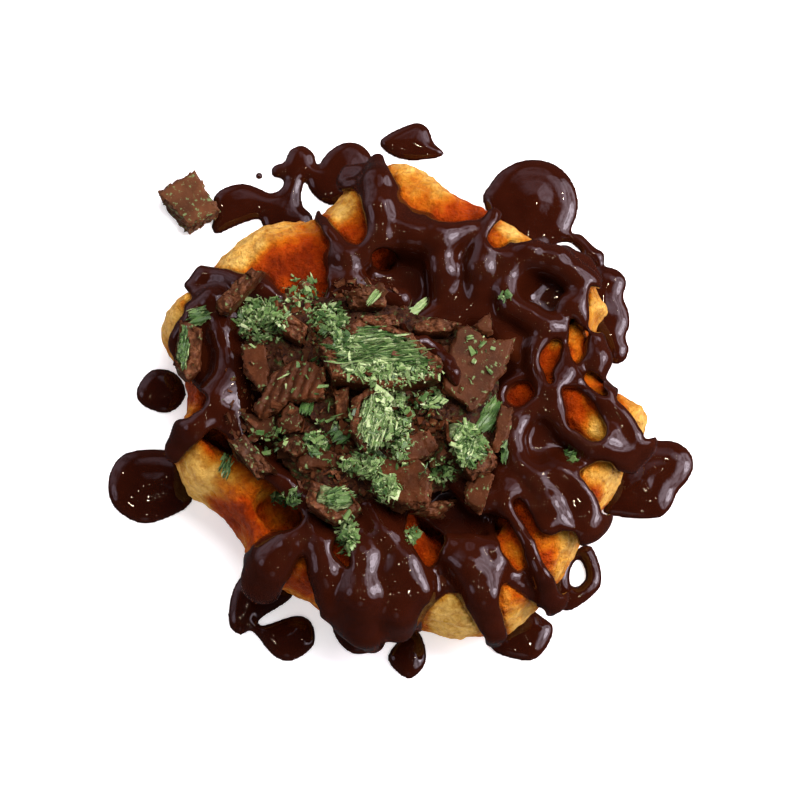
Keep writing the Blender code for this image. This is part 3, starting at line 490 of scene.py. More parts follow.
def read_corners(obj, what):
    out = np.zeros(len(obj.data.vertices) * 3, np.float32)
    obj.data.vertices.foreach_get(what, out)
    return out.reshape(-1, 3).astype(float)


def normals_of(obj):
    return read_corners(obj, "normal")


def points_of(obj):
    return read_corners(obj, "co") / MM


def set_points(obj, points, floor=None):
    """Moves the corners, none below the height floor."""
    if floor is not None:
        points[:, 2] = np.maximum(points[:, 2], floor)
    obj.data.vertices.foreach_set("co", (points * MM).astype(np.float32).ravel())
    obj.data.update()


# Dough and sauce.


def grid_point(along, across):
    """The place in the plan this far along and across the iron's grid."""
    return np.array([along * TURN_COS + across * TURN_SIN, along * TURN_SIN - across * TURN_COS])


def plan_outline():
    return np.array([sight(u, v, RIM_HEIGHT + RIM_HEIGHT_LEAN * v)[:2] for u, v in WAFFLE_OUTLINE])


def pocket_places(first, mouth):
    """Each pocket's middle and mouth: full size on the waffle's face, smaller by its rim."""
    plan = plan_outline()
    middle = plan.mean(0)
    inward = (middle - plan) / np.linalg.norm(middle - plan, axis=1)[:, None]
    face = plan + inward * FACE_INSET
    places = []
    for i in range(-4, 5):
        for j in range(-4, 5):
            n, d, width = first[0] + i * PITCH, first[1] + j * PITCH, mouth
            while width >= SMALLEST:
                half = width / 2 - CORNER_MARGIN
                corners = np.array([grid_point(n + a * half, d + b * half)
                                    for a in (-1, 1) for b in (-1, 1)])
                if (outline_distance(corners[:, 0], corners[:, 1], face) < 0).all():
                    places.append((n, d, width))
                    break
                width -= MOUTH_STEP
    return places


LOW = np.array([-77.0, -70.5, -1.3])
COUNT = np.array([237, 242, 56])
xs, ys, zs = (LOW[a] + STEP * np.arange(COUNT[a]) for a in range(3))
X2, Y2 = np.meshgrid(xs, ys, indexing="ij")
Z3 = zs[None, None, :]


def span(axis, low, high, more=0):
    """The stretch of one axis of the grid between two places on it."""
    first, last = (int((at - LOW[axis]) / STEP) for at in (low, high))
    return slice(max(0, first), max(1, last + more))


def pocket_field(n, d, width, taper, depth, side, grow=0.0):
    """One tapered well, negative inside, with the block of the grid that it covers."""
    box = tuple(span(a, c - width, c + width) for a, c in enumerate(grid_point(n, d)))
    x, y = X2[box], Y2[box]
    along = np.abs(x * TURN_COS + y * TURN_SIN - n)[:, :, None]
    across = np.abs(x * TURN_SIN - y * TURN_COS - d)[:, :, None]
    below = (THICKNESS - Z3) if side > 0 else Z3
    half = (width - taper * below / depth) / 2 + grow
    qa, qb = along - half + WELL_ROUNDING, across - half + WELL_ROUNDING
    flat = (np.minimum(np.maximum(qa, qb), 0)
            + np.hypot(np.maximum(qa, 0), np.maximum(qb, 0)) - WELL_ROUNDING)
    return box, smooth_max(flat, below - depth, 2.4)


def dough_field():
    """Distance to the waffle's skin, negative inside, and to its outline in the plan."""
    plan = rounded(plan_outline(), 4)
    edge = outline_distance(X2, Y2, plan)
    inset = np.interp(zs, RING_HEIGHTS, RING_INSETS)[None, None, :]
    body = (edge[:, :, None] + inset).astype(np.float32)
    body = smooth_max(body, Z3 - THICKNESS, 3.0)
    body = smooth_max(body, -Z3, 1.2)
    for first, mouth, taper, depth, side, melt in (
            (TOP_GRID, TOP_MOUTH, TOP_TAPER, TOP_DEPTH, 1, 3.0),
            (BASE_GRID, BASE_MOUTH, BASE_TAPER, BASE_DEPTH, -1, 2.0)):
        for n, d, width in pocket_places(first, mouth):
            box, well = pocket_field(n, d, width, taper, depth, side)
            body[box] = smooth_max(body[box], -well, melt)
    return body.astype(np.float32), edge


def cover_map():
    """How far inside the sauce's edge each point of the view lies, and the map's own corner."""
    u, v = np.arange(-90, 90.01, MAP_STEP), np.arange(-85, 85.01, MAP_STEP)
    U, V = np.meshgrid(u, v, indexing="ij")
    cover = np.full(U.shape, 30.0)
    for patch in BARE:
        cover = np.minimum(cover, outline_distance(U, V, rounded(patch)))
    cover += 0.42 * flat_noise(U, V, 3.6, 71) + 0.22 * flat_noise(U, V, 1.7, 72)
    return cover, (u[0], v[0], MAP_STEP)


def sampled(table, corner, u, v):
    """A map read at places of the view, between its points."""
    a = np.clip((u - corner[0]) / corner[2], 0, table.shape[0] - 1.001)
    b = np.clip((v - corner[1]) / corner[2], 0, table.shape[1] - 1.001)
    i, j = a.astype(int), b.astype(int)
    fa, fb = a - i, b - j
    return (table[i, j] * (1 - fa) * (1 - fb) + table[i + 1, j] * fa * (1 - fb)
            + table[i, j + 1] * (1 - fa) * fb + table[i + 1, j + 1] * fa * fb)


def rope_gap(x, y, z, start, end):
    """Distance to a rope from start to end, each (x, y, z, radius), negative inside."""
    x, y, z = x - start[0], y - start[1], z - start[2]
    dx, dy, dz, grow = (b - a for a, b in zip(start, end))
    t = np.clip((x * dx + y * dy + z * dz) / (dx * dx + dy * dy + dz * dz), 0, 1)
    gap = np.sqrt((x - t * dx) ** 2 + (y - t * dy) ** 2 + (z - t * dz) ** 2)
    return gap - (start[3] + grow * t)


def add_rope(field, rope):
    """A rope of sauce with rounded ends, melted into the field."""
    points = [(*sight(*picked(x, y), z + ROPE_LIFT), ROPE_FULLNESS * r) for x, y, z, r in rope]
    for start, end in zip(points, points[1:]):
        reach = max(start[3], end[3]) + 3.5
        box = tuple(span(a, min(start[a], end[a]) - reach, max(start[a], end[a]) + reach, 2)
                    for a in range(3))
        places = np.ix_(*(axis[part] for axis, part in zip((xs, ys, zs), box)))
        gap = rope_gap(*places, start, end)
        field[box] = smooth_min(field[box], gap.astype(np.float32), 2.4)


def sauce_field(dough, edge, cover):
    """The sauce: a coat on the dough, pools in its pockets and ropes, negative inside."""
    seen = sampled(*cover, *view_point(*np.broadcast_arrays(X2[:, :, None], Y2[:, :, None], Z3)))
    soft = blurred(np.clip(dough, -7, 7), 2.0)
    high = np.clip((Z3 - 14) / 9, 0, 1)
    coat = COAT + (COAT_MORE + 0.5 * flat_noise(X2, Y2, 10.0, 3)[:, :, None]) * high
    angle = np.arctan2(Y2, X2)
    foot = 6.0 + 7.0 * flat_noise(np.cos(angle) * 60, np.sin(angle) * 60, 9.0, 8)
    down = np.where(edge[:, :, None] > -9, Z3 - foot[:, :, None], 30.0)
    c = np.minimum(seen, down)
    t = np.clip(c / COAT_EDGE, 0, 1)
    swell = np.sqrt(1 - (1 - t) ** 2)
    bead = BEAD * np.exp(-((c - 2.0) / 1.5) ** 2) * high
    thick = np.where(c > 0, -1.0 + (1.0 + coat + bead) * swell, -1.0 + 0.6 * np.maximum(c, -3))
    out = (soft - thick).astype(np.float32)
    for n, d, width in pocket_places(TOP_GRID, TOP_MOUTH):
        box, well = pocket_field(n, d, width, TOP_TAPER, TOP_DEPTH, 1, 1.0)
        pool = smooth_max(well, Z3 - POOL_LEVEL, 1.0)
        shut = np.clip(0.3 - c[box], 0, None) * 3
        out[box] = smooth_min(out[box], pool + shut, 4.0)
    for rope in ROPES:
        add_rope(out, rope)
    out = np.where(seen < 4, smooth_max(out, -(seen - 0.1), 1.2), out)
    return out.astype(np.float32)


def puddle_field(field):
    """Melts the puddles into the field."""
    for height, edge, outlines in PUDDLES.values():
        shapes = [np.array([sight(u, v, 1.5)[:2] for u, v in rounded(o)]) for o in outlines]
        low, high = shapes[0].min(0) - 6, shapes[0].max(0) + 6
        box = tuple(span(a, low[a], high[a], 1) for a in range(2))
        x, y = X2[box], Y2[box]
        gap = outline_distance(x, y, shapes[0])
        for hole in shapes[1:]:
            gap = np.maximum(gap, -outline_distance(x, y, hole))
        gap = gap[:, :, None]
        z = Z3 * edge / height
        dome = np.hypot(np.maximum(gap + edge, 0), z) - edge
        dome = np.where(gap < -edge, z - edge * (1 + 0.06 * np.minimum(-gap - edge, 4)), dome)
        field[box] = smooth_min(field[box], dome.astype(np.float32), 2.2)


class Nodes:
    """The nodes of a material or of the room, with short names for building them."""

    def __init__(self, owner, last, place):
        owner.use_nodes = True
        self.owner = owner
        self.tree = owner.node_tree
        self.shader = self.tree.nodes[last]
        self.place = self.new("TexCoord").outputs[place]

    def link(self, source, target):
        self.tree.links.new(source, target)

    def feed(self, source, socket):
        """Links a node's output to a socket, or sets the socket to a number or colour."""
        if hasattr(source, "is_linked"):
            self.link(source, socket)
        elif hasattr(source, "__len__"):
            socket.default_value = (*source, 1)[:len(socket.default_value)]
        else:
            socket.default_value = source

    def new(self, kind, **inputs):
        """A node with its inputs fed by name, an underscore for each space."""
        node = self.tree.nodes.new("ShaderNode" + kind)
        for key, source in inputs.items():
            self.feed(source, node.inputs[key.replace("_", " ")])
        return node

    def surface(self, **inputs):
        """Feeds the last shader's inputs in the same way, and gives the material back."""
        for key, source in inputs.items():
            self.feed(source, self.shader.inputs[key.replace("_", " ")])
        return self.owner

    def noise(self, scale, detail=4.0, rough=0.55, turn=None, stretch=None, distortion=0.0):
        place = self.place
        if stretch is not None:
            mapping = self.new("Mapping", Vector=place, Rotation=turn, Scale=stretch)
            place = mapping.outputs["Vector"]
        node = self.new("TexNoise", Vector=place, Scale=scale, Detail=detail, Roughness=rough,
                        Distortion=distortion)
        return node.outputs["Fac"]

    def cells(self, scale):
        return self.new("TexVoronoi", Vector=self.place, Scale=scale).outputs["Distance"]

    def value(self, name):
        node = self.new("Attribute")
        node.attribute_name = name
        return node.outputs["Fac"]

    def ramp(self, source, *stops):
        """A colour or number for each value of the source, from (value, colour) stops."""
        node = self.new("ValToRGB", Fac=source)
        ramp = node.color_ramp
        while len(ramp.elements) < len(stops):
            ramp.elements.new(0.5)
        for element, (at, colour) in zip(ramp.elements, stops):
            element.position = at
            element.color = (*colour, 1) if hasattr(colour, "__len__") else (colour,) * 3 + (1,)
        return node.outputs["Color"]

    def mix(self, share, a, b, blend="MIX"):
        node = self.new("Mix")
        node.data_type = "RGBA"
        node.blend_type = blend
        for key, source in (("Factor_Float", share), ("A_Color", a), ("B_Color", b)):
            self.feed(source, next(s for s in node.inputs if s.identifier == key))
        return next(s for s in node.outputs if s.identifier == "Result_Color")

    def times(self, a, b):
        return self.mix(1.0, a, b, "MULTIPLY")

    def math(self, operation, a, b):
        node = self.new("Math")
        node.operation = operation
        for socket, source in zip(node.inputs, (a, b)):
            self.feed(source, socket)
        return node.outputs["Value"]

    def wobble(self, source, amount):
        """Noise from 0 to 1 as a shift of up to half the amount either way."""
        return self.math("MULTIPLY", self.math("SUBTRACT", source, 0.5), amount)

    def bump(self, height, strength, distance, after=None):
        node = self.new("Bump", Height=height, Strength=strength, Distance=distance)
        if after is not None:
            self.link(after, node.inputs["Normal"])
        return node.outputs["Normal"]


def material(name):
    return Nodes(bpy.data.materials.new(name), "Principled BSDF", "Object")


def sauce_material():
    n = material("sauce_gloss")
    deep = n.mix(n.noise(160, 3), (0.0130, 0.0020, 0.0007), (0.0265, 0.0046, 0.0014))
    thin = n.ramp(n.value("depth"), (0.0, 1.0), (0.2, 0.3), (0.5, 0.0))
    return n.surface(
        Base_Color=n.mix(thin, deep, (0.150, 0.030, 0.006)),
        Roughness=n.ramp(n.noise(420, 4, 0.6), (0.3, 0.02), (0.75, 0.055)),
        Normal=n.bump(n.noise(260, 3, 0.5), 0.10, 0.0006),
        IOR=1.47, Specular_IOR_Level=0.40)


def dough_material():
    n = material("dough_crust")
    share = n.math("ADD", n.value("browned"), n.wobble(n.noise(170, 6, 0.6), 0.55))
    colour = n.ramp(
        share, (0.0, (0.72, 0.50, 0.140)), (0.2, (0.56, 0.300, 0.044)),
        (0.40, (0.45, 0.128, 0.006)), (0.62, (0.35, 0.048, 0.0020)), (1.0, (0.16, 0.016, 0.001)))
    fleck = n.ramp(n.noise(800, 5, 0.65), (0.34, (0.86, 0.74, 0.58)), (0.62, (1.08, 1.07, 1.04)))
    cloud = n.ramp(n.noise(230, 5, 0.6), (0.34, (0.92, 0.80, 0.62)), (0.62, (1.08, 1.06, 1.02)))
    lumps = n.noise(480, 6, 0.66)
    # painted shade: the crust's colour darkens where the bump noise is low, as shade in its pits
    painted_pit_shade = n.ramp(lumps, (0.38, (0.84, 0.66, 0.46)), (0.54, (1.08, 1.06, 1.0)))
    pores = n.ramp(n.cells(420), (0.05, 0.0), (0.30, 1.0))
    return n.surface(
        Base_Color=n.times(n.times(colour, fleck), n.times(cloud, painted_pit_shade)),
        Roughness=n.ramp(n.noise(500, 3), (0.3, 0.26), (0.7, 0.60)),
        Normal=n.bump(pores, 0.35, 0.0005, n.bump(lumps, 1.0, 0.0030)),
        Specular_IOR_Level=0.22, Specular_Tint=(1.0, 0.62, 0.25),
        Subsurface_Weight=0.04, Subsurface_Radius=(1.0, 0.45, 0.2), Subsurface_Scale=0.0016)


def chocolate_material(name, tint=(1.0, 1.0, 1.0), specks=0.62):
    """Even on the moulded faces and coarse on the broken sides, with dust and specks of mint."""
    n = material(name)
    face = n.ramp(n.noise(240, 5, 0.6), (0.3, (0.030, 0.0070, 0.0018)),
                  (0.7, (0.056, 0.0148, 0.0040)))
    broken = n.ramp(n.noise(700, 5, 0.7), (0.3, (0.020, 0.0050, 0.0017)),
                    (0.5, (0.058, 0.0175, 0.0060)), (0.72, (0.160, 0.062, 0.025)))
    batch = n.ramp(n.noise(90, 2), (0.36, 0.70), (0.62, 1.30))
    base = n.times(n.times(n.mix(n.value("wall"), face, broken), batch), tint)
    dust = n.ramp(n.noise(1500, 4, 0.7), (0.58, 0.0), (0.74, 0.4))
    green = n.ramp(n.noise(760, 3, 0.6), (specks, 0.0), (specks + 0.06, 0.85))
    low = n.bump(n.noise(420, 6, 0.6), 0.25, 0.0006)
    return n.surface(
        Base_Color=n.mix(green, n.mix(dust, base, (0.17, 0.075, 0.036)), (0.12, 0.19, 0.07)),
        Roughness=n.ramp(n.noise(700, 3), (0.3, 0.38), (0.7, 0.6)),
        Normal=n.bump(n.noise(2200, 3, 0.6), 0.3, 0.0003, low),
        Specular_IOR_Level=0.28, Specular_Tint=(1.0, 0.72, 0.5))


def filling_material():
    n = material("mint_filling")
    grain = n.noise(260, 5, 0.65, (0, 0, 0.15), (1.0, 6.0, 4.0), 0.3)
    fibre = n.ramp(
        grain, (0.34, (0.018, 0.028, 0.006)), (0.46, (0.070, 0.095, 0.028)),
        (0.56, (0.150, 0.195, 0.070)), (0.72, (0.34, 0.42, 0.21)))
    brown = n.ramp(n.noise(300, 4, 0.6), (0.60, 0.0), (0.68, 0.7))
    return n.surface(
        Base_Color=n.mix(brown, fibre, (0.10, 0.042, 0.017)), Roughness=0.32,
        Normal=n.bump(n.noise(1300, 4, 0.6), 0.5, 0.0003, n.bump(grain, 1.0, 0.0010)))


def fibre_material():
    n = material("mint_fibre")
    colour = n.ramp(
        n.math("ADD", n.value("tone"), n.wobble(n.noise(900, 3), 0.4)),
        (0.0, (0.010, 0.030, 0.006)), (0.3, (0.046, 0.100, 0.024)),
        (0.6, (0.135, 0.215, 0.066)), (0.85, (0.30, 0.39, 0.165)), (1.0, (0.46, 0.56, 0.29)))
    return n.surface(
        Base_Color=colour, Roughness=0.34, Specular_IOR_Level=0.32,
        Normal=n.bump(n.noise(1800, 3), 0.4, 0.0002),
        Subsurface_Weight=0.25, Subsurface_Radius=(0.5, 1.0, 0.4), Subsurface_Scale=0.0006)


# The heap's core: almost black brown as painted shade in the gaps between the chunks, with some
# real mint green in it.
def core_shade_material():
    n = material("heap_core")
    fine = n.noise(1500, 4, 0.7)
    colour = n.ramp(
        n.noise(420, 5, 0.65), (0.35, (0.012, 0.0036, 0.0015)), (0.54, (0.046, 0.0140, 0.0050)),
        (0.62, (0.036, 0.046, 0.012)), (0.75, (0.09, 0.14, 0.045)))
    return n.surface(
        Base_Color=n.times(colour, n.ramp(fine, (0.3, 0.5), (0.7, 1.25))),
        Roughness=0.55, Specular_IOR_Level=0.15, Normal=n.bump(fine, 0.8, 0.0006))


def finish_piece(obj, look, slot, *replaced):
    obj.data.materials.clear()
    obj.data.materials.append(look)
    if replaced:
        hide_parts(*replaced)
    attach(obj, "root")


def field_at(field, points):
    """The field read at places in space, between the grid's points."""
    q = np.clip((points - LOW) / STEP, 0, np.array(field.shape) - 1.001)
    i = q.astype(int)
    return sum(share * field[tuple((i + corner).T)] for corner, share in corner_shares(q - i))


dough, plan_edge = dough_field()
cover = cover_map()
sauce = sauce_field(dough, plan_edge, cover)
puddle_field(sauce)
stray_gap = outline_distance(
    X2, Y2, np.array([sight(u, v, 5.0)[:2] for u, v in STRAY]))[:, :, None]
for kept in (dough + 0.8, stray_gap - 0.1, Z3 + 0.6):
    sauce = np.maximum(sauce, -kept)

verts, faces = skin(dough, LOW, STEP)
waffle = make_mesh("waffle_dough", verts, faces)
relief = (0.62 * noise(verts, 6.5, 21) + 0.50 * noise(verts, 2.9, 22)
          + 0.34 * noise(verts, 1.4, 23))
covered = np.clip((0.05 - field_at(sauce, verts)) / 0.3, 0, 1)
relief = relief * (1 - covered) + (0.4 * np.minimum(relief, 0) - 0.55) * covered
verts = verts + normals_of(waffle) * relief[:, None]
set_points(waffle, verts, LOWEST)
u, v = view_point(*verts.T)
edge_gap = outline_distance(verts[:, 0], verts[:, 1], rounded(plan_outline(), 2))
browned = 0.16 + 0.38 * np.clip((-edge_gap - 6) / 12, 0, 1)
browned += 0.24 * np.exp(-np.abs(sampled(*cover, u, v)) / 0.9)
for x, y, radius, strength in BROWNED:
    at = picked(x, y)
    gap2 = ((u - at[0]) ** 2 + (v - at[1]) ** 2) / (radius / PIXELS_PER_MM) ** 2
    browned += 0.55 * strength * np.exp(-gap2)
browned += 0.35 * np.clip((3.0 - verts[:, 2]) / 3.0, 0, 1)
browned += 0.16 * noise(verts, 8.0, 31) + 0.16 * noise(verts, 3.2, 32)
mark(waffle, "browned", browned)
finish_piece(waffle, dough_material(), "batter", "waffle")

verts, faces = skin(sauce, LOW, STEP)
verts = smoothed(verts, faces, 6)
verts[:, 2] = np.maximum(verts[:, 2], SAUCE_LOWEST)
depth = np.clip(field_at(dough, verts) / 2.0, 0, 1)
flow = make_mesh("sauce_flow", verts, faces, {"depth": depth})
sauce_look = sauce_material()
finish_piece(flow, sauce_look, "sauce", "sauce", *PUDDLES)
flow.cycles.shadow_terminator_offset = 0.25
flow.cycles.shadow_terminator_geometry_offset = 0.3


# Broken chocolate and mint.

FILLING_CELL = 0.32
LONGEST_EDGE = 0.55
LONGEST_CORE_EDGE = 0.6
SMOOTH_FACED = ("shard_large", "shard_low", "shard_wet", "shard_top", "flake_left",
                "square_stray")
# Pieces low in the heap and at its left, which get a darker copy of the chocolate as painted shade.
SHADED_PIECES = ("piece_left", "piece_low_left", "flake_left", "flake_low", "finger_low")


def copied(node, suffix):
    """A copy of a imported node's mesh with its doubled corners welded, as a new piece."""
    mesh = nodes[node].data.copy()
    shape = bmesh.new()
    shape.from_mesh(mesh)
    bmesh.ops.remove_doubles(shape, verts=shape.verts, dist=2e-6)
    shape.to_mesh(mesh)
    shape.free()
    return placed(node + suffix, mesh)


def remeshed(node, suffix, voxel):
    """A fine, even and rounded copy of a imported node."""
    made = copied(node, suffix)
    even = made.modifiers.new("even", "REMESH")
    even.mode = "VOXEL"
    even.voxel_size = voxel * MM
    even.use_smooth_shade = True
    graph = bpy.context.evaluated_depsgraph_get()
    made.data = bpy.data.meshes.new_from_object(made.evaluated_get(graph))
    made.modifiers.clear()
    return made


def split_fine(node, suffix, longest):
    """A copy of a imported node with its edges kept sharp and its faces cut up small."""
    made = copied(node, suffix)
    shape = bmesh.new()
    shape.from_mesh(made.data)
    for _ in range(9):
        long = [e for e in shape.edges if e.calc_length() > longest * MM]
        if not long:
            break
        bmesh.ops.subdivide_edges(shape, edges=long, cuts=1)
        bmesh.ops.triangulate(shape, faces=[f for f in shape.faces if len(f.verts) > 3])
    shape.to_mesh(made.data)
    shape.free()
    return made


def jumps(cell, seed):
    """Three random numbers from -1 to 1 for each cell."""
    return np.stack([lattice(*cell.T, seed + n) for n in range(3)], 1)


def shattered(points, size, seed):
    """A shift for each place that is even within a splinter and jumps between splinters."""
    q = points / size
    cell = np.floor(q).astype(np.int64)
    best = np.full(len(points), 1e9)
    shift = np.zeros_like(points)
    for step in np.ndindex(3, 3, 3):
        near = cell + step - 1
        at = near + 0.5 + 0.45 * jumps(near, seed)
        gap = ((q - at) ** 2).sum(1)
        nearer = gap < best
        best = np.where(nearer, gap, best)
        shift = np.where(nearer[:, None], jumps(near, seed + 3), shift)
    return shift


def main_face(node):
    """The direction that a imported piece's broadest flat side looks in, taken upward."""
    mesh = nodes[node].data
    normals, areas = np.empty(len(mesh.polygons) * 3), np.empty(len(mesh.polygons))
    mesh.polygons.foreach_get("normal", normals)
    mesh.polygons.foreach_get("area", areas)
    normals = normals.reshape(-1, 3)
    alike = np.abs(normals @ normals.T) > 0.97
    face = normals[np.argmax((alike * areas[None]).sum(1))]
    return face if face[2] >= 0 else -face


def broken(obj, face, layers, keep):
    """Breaks the sides into splinters and less so the faces: (reach, size, seed) for a layer."""
    points, normals = points_of(obj), normals_of(obj)
    side = np.clip(1.3 - 1.5 * np.abs(normals @ face), 0, 1)
    shift = sum(reach * shattered(points, size, seed) for reach, size, seed in layers)
    out = (shift @ face)[:, None] * face
    moved = points + (shift - out) * (0.2 + 0.8 * side)[:, None]
    set_points(obj, moved + out * (keep + (1 - keep) * 0.6 * side)[:, None])
    obj.data.polygons.foreach_set("use_smooth", np.ones(len(obj.data.polygons), bool))
    obj.data.set_sharp_from_angle(angle=math.radians(32))


def roughened(obj, layers, along=None):
    """Moves the skin in and out by noise: (depth, feature size, seed) for each layer."""
    points, normals = points_of(obj), normals_of(obj)
    where = points if along is None else points @ along
    shift = sum(depth * noise(where, size, seed) for depth, size, seed in layers)
    set_points(obj, points + normals * shift[:, None])


def ragged(obj, face, layers):
    """Shifts the skin along its broad face by noise, so that edges break unevenly."""
    points = points_of(obj)
    for reach, size, seed in layers:
        shift = np.stack([noise(points, size, seed + 50 * axis) for axis in range(3)], 1) * reach
        points = points + shift - (shift @ face)[:, None] * face
    set_points(obj, points)


def mark_walls(obj, face):
    """Keeps which parts are broken sides, for their look."""
    mark(obj, "wall", np.clip(1.25 - np.abs(normals_of(obj) @ face) * 1.5, 0, 1))


def turned(angle, stretch):
    """A matrix that lays noise out in streaks along one direction of the view."""
    c, s = math.cos(angle), math.sin(angle)
    return np.array([[c / stretch, -s, 0], [s / stretch, c, 0], [0, 0, 1]])


chocolate = chocolate_material("milk_chocolate")
# painted shade: a darker copy of the chocolate for the pieces that lie in shade
shaded_chocolate = chocolate_material("milk_chocolate_dark", (0.72, 0.72, 0.72), 0.60)
chocolate_pale = chocolate_material("milk_chocolate_pale", (1.55, 2.0, 2.7), 0.585)
mint = filling_material()
chunks = []
for name in sorted(nodes):
    if name in ("waffle", "sauce", "crumb_heap") or name.startswith("puddle"):
        continue
    seed = sum(ord(c) for c in name)
    if name.endswith("_filling"):
        piece = remeshed(name, "_fibrous", FILLING_CELL)
        streak = turned(0.12 if name.startswith("slab") else 1.2, 8.0)
        roughened(piece, ((0.55, 0.9, seed), (0.30, 0.45, seed + 1)), streak)
        roughened(piece, ((0.25, 1.6, seed + 2), (0.12, 0.6, seed + 3)))
        finish_piece(piece, mint, "mint", name)
    else:
        piece = split_fine(name, "_broken", LONGEST_EDGE)
        face = main_face(name)
        ragged(piece, face, ((0.45, 3.0, seed), (0.22, 1.0, seed + 1)))
        if name in ("grooved", "piece_ribbed"):
            ribs = points_of(piece) @ np.array([math.sin(1.15), -math.cos(1.15), 0.25])
            ribs = np.abs(np.sin(ribs * math.pi / 2.3)) * 0.9 - 0.5
            top = np.clip(normals_of(piece) @ face, 0, 1)[:, None]
            set_points(piece, points_of(piece) + face * ribs[:, None] * top)
        if name in SMOOTH_FACED:
            broken(piece, face, ((0.42, 1.8, seed), (0.22, 0.8, seed + 9)), 0.04)
        else:
            broken(piece, face, ((0.50, 2.2, seed), (0.26, 1.0, seed + 9)), 0.22)
        mark_walls(piece, face)
        look = shaded_chocolate if name in SHADED_PIECES else chocolate
        finish_piece(piece, chocolate_pale if name == "square_stray" else look, "chocolate", name)
    set_points(piece, points_of(piece), LOWEST)
    chunks.append(piece)

# The heap's core, dark as painted shade between the chunks.
core = split_fine("crumb_heap", "_core", LONGEST_CORE_EDGE)
broken(core, np.array([0.0, 0.0, 1.0]), ((0.55, 2.0, 61), (0.3, 0.9, 62)), 0.8)
finish_piece(core, core_shade_material(), "mint", "crumb_heap")

graph = bpy.context.evaluated_depsgraph_get()
graph.update()
trees = [(piece.name, BVHTree.FromObject(piece, graph))
         for piece in [core, flow, waffle] + chunks]


def land(x, y):
    """Where the line of sight through a pixel first meets the food: place, normal, piece."""
    start = Vector(EYE) * MM
    away = (Vector(sight(*picked(x, y), 0.0)) * MM - start).normalized()
    best = None
    for name, tree in trees:
        place, normal, _, gap = tree.ray_cast(start, away)
        if place is not None and (best is None or gap < best[3]):
            best = (np.array(place) / MM, np.array(normal), name, gap)
    return best


def spin(count, tilt):
    """Random turns: any heading, leaning by up to about tilt, and any roll."""
    yaw = rng.uniform(0, 2 * math.pi, count)
    return yaw, rng.normal(0, tilt, count), rng.uniform(0, 2 * math.pi, count)


def frames(yaw, pitch, roll):
    """Turning matrices (n, 3, 3) from heading, lift and roll."""
    cy, sy, cp, sp, cr, sr = (f(a) for a in (yaw, pitch, roll) for f in (np.cos, np.sin))
    one, nil = np.ones_like(cy), np.zeros_like(cy)
    z = np.stack([np.stack([cy, -sy, nil], 1), np.stack([sy, cy, nil], 1),
                  np.stack([nil, nil, one], 1)], 1)
    y = np.stack([np.stack([cp, nil, -sp], 1), np.stack([nil, one, nil], 1),
                  np.stack([sp, nil, cp], 1)], 1)
    x = np.stack([np.stack([one, nil, nil], 1), np.stack([nil, cr, -sr], 1),
                  np.stack([nil, sr, cr], 1)], 1)
    return z @ y @ x


def scattered(name, shape, places, turns, sizes, tones, jitter, bend=None):
    """One mesh of many copies of a small shape, each turned, stretched and a little its own."""
    base, faces = shape
    count, corners = len(places), len(base)
    points = np.repeat(base[None], count, 0) * sizes[:, None, :]
    points = points + jitter * rng.uniform(-1, 1, points.shape) * sizes[:, None, :]
    if bend is not None:
        points[:, :, 2] += bend[:, None] * (base[None, :, 0] ** 2) * sizes[:, None, 0]
    points = np.einsum("nij,nkj->nki", turns, points) + places[:, None, :]
    all_faces = np.arange(count)[:, None, None] * corners + np.array(faces)[None]
    return make_mesh(name, points.reshape(-1, 3), all_faces.reshape(-1, len(faces[0])),
                     {"tone": np.repeat(tones, corners)}, False)


def sliver_shape():
    """A slim tapered flake along x, from -1 to 1, as quads."""
    rows = [(-1.0, 0.25), (-0.45, 0.85), (0.15, 1.0), (0.65, 0.7), (1.0, 0.2)]
    base = [(x, side * w, up * w) for x, w in rows for side, up in
            ((-1, -0.5), (1, -0.5), (0.8, 0.5), (-0.8, 0.5))]
    quads = []
    for r in range(len(rows) - 1):
        for k in range(4):
            a, b = r * 4 + k, r * 4 + (k + 1) % 4
            quads.append((a, b, b + 4, a + 4))
    quads += [(3, 2, 1, 0), (16, 17, 18, 19)]
    return np.array(base), quads


def crumb_shape():
    """A block with one end narrower, as quads, to be knocked out of true."""
    base = [(x, y * w, z * w) for x, w in ((-1.0, 0.85), (1.0, 0.6)) for y, z in
            ((-1, -1), (1, -1), (1, 1), (-1, 1))]
    quads = [(0, 1, 5, 4), (1, 2, 6, 5), (2, 3, 7, 6), (3, 0, 4, 7), (3, 2, 1, 0), (4, 5, 6, 7)]
    return np.array(base), quads


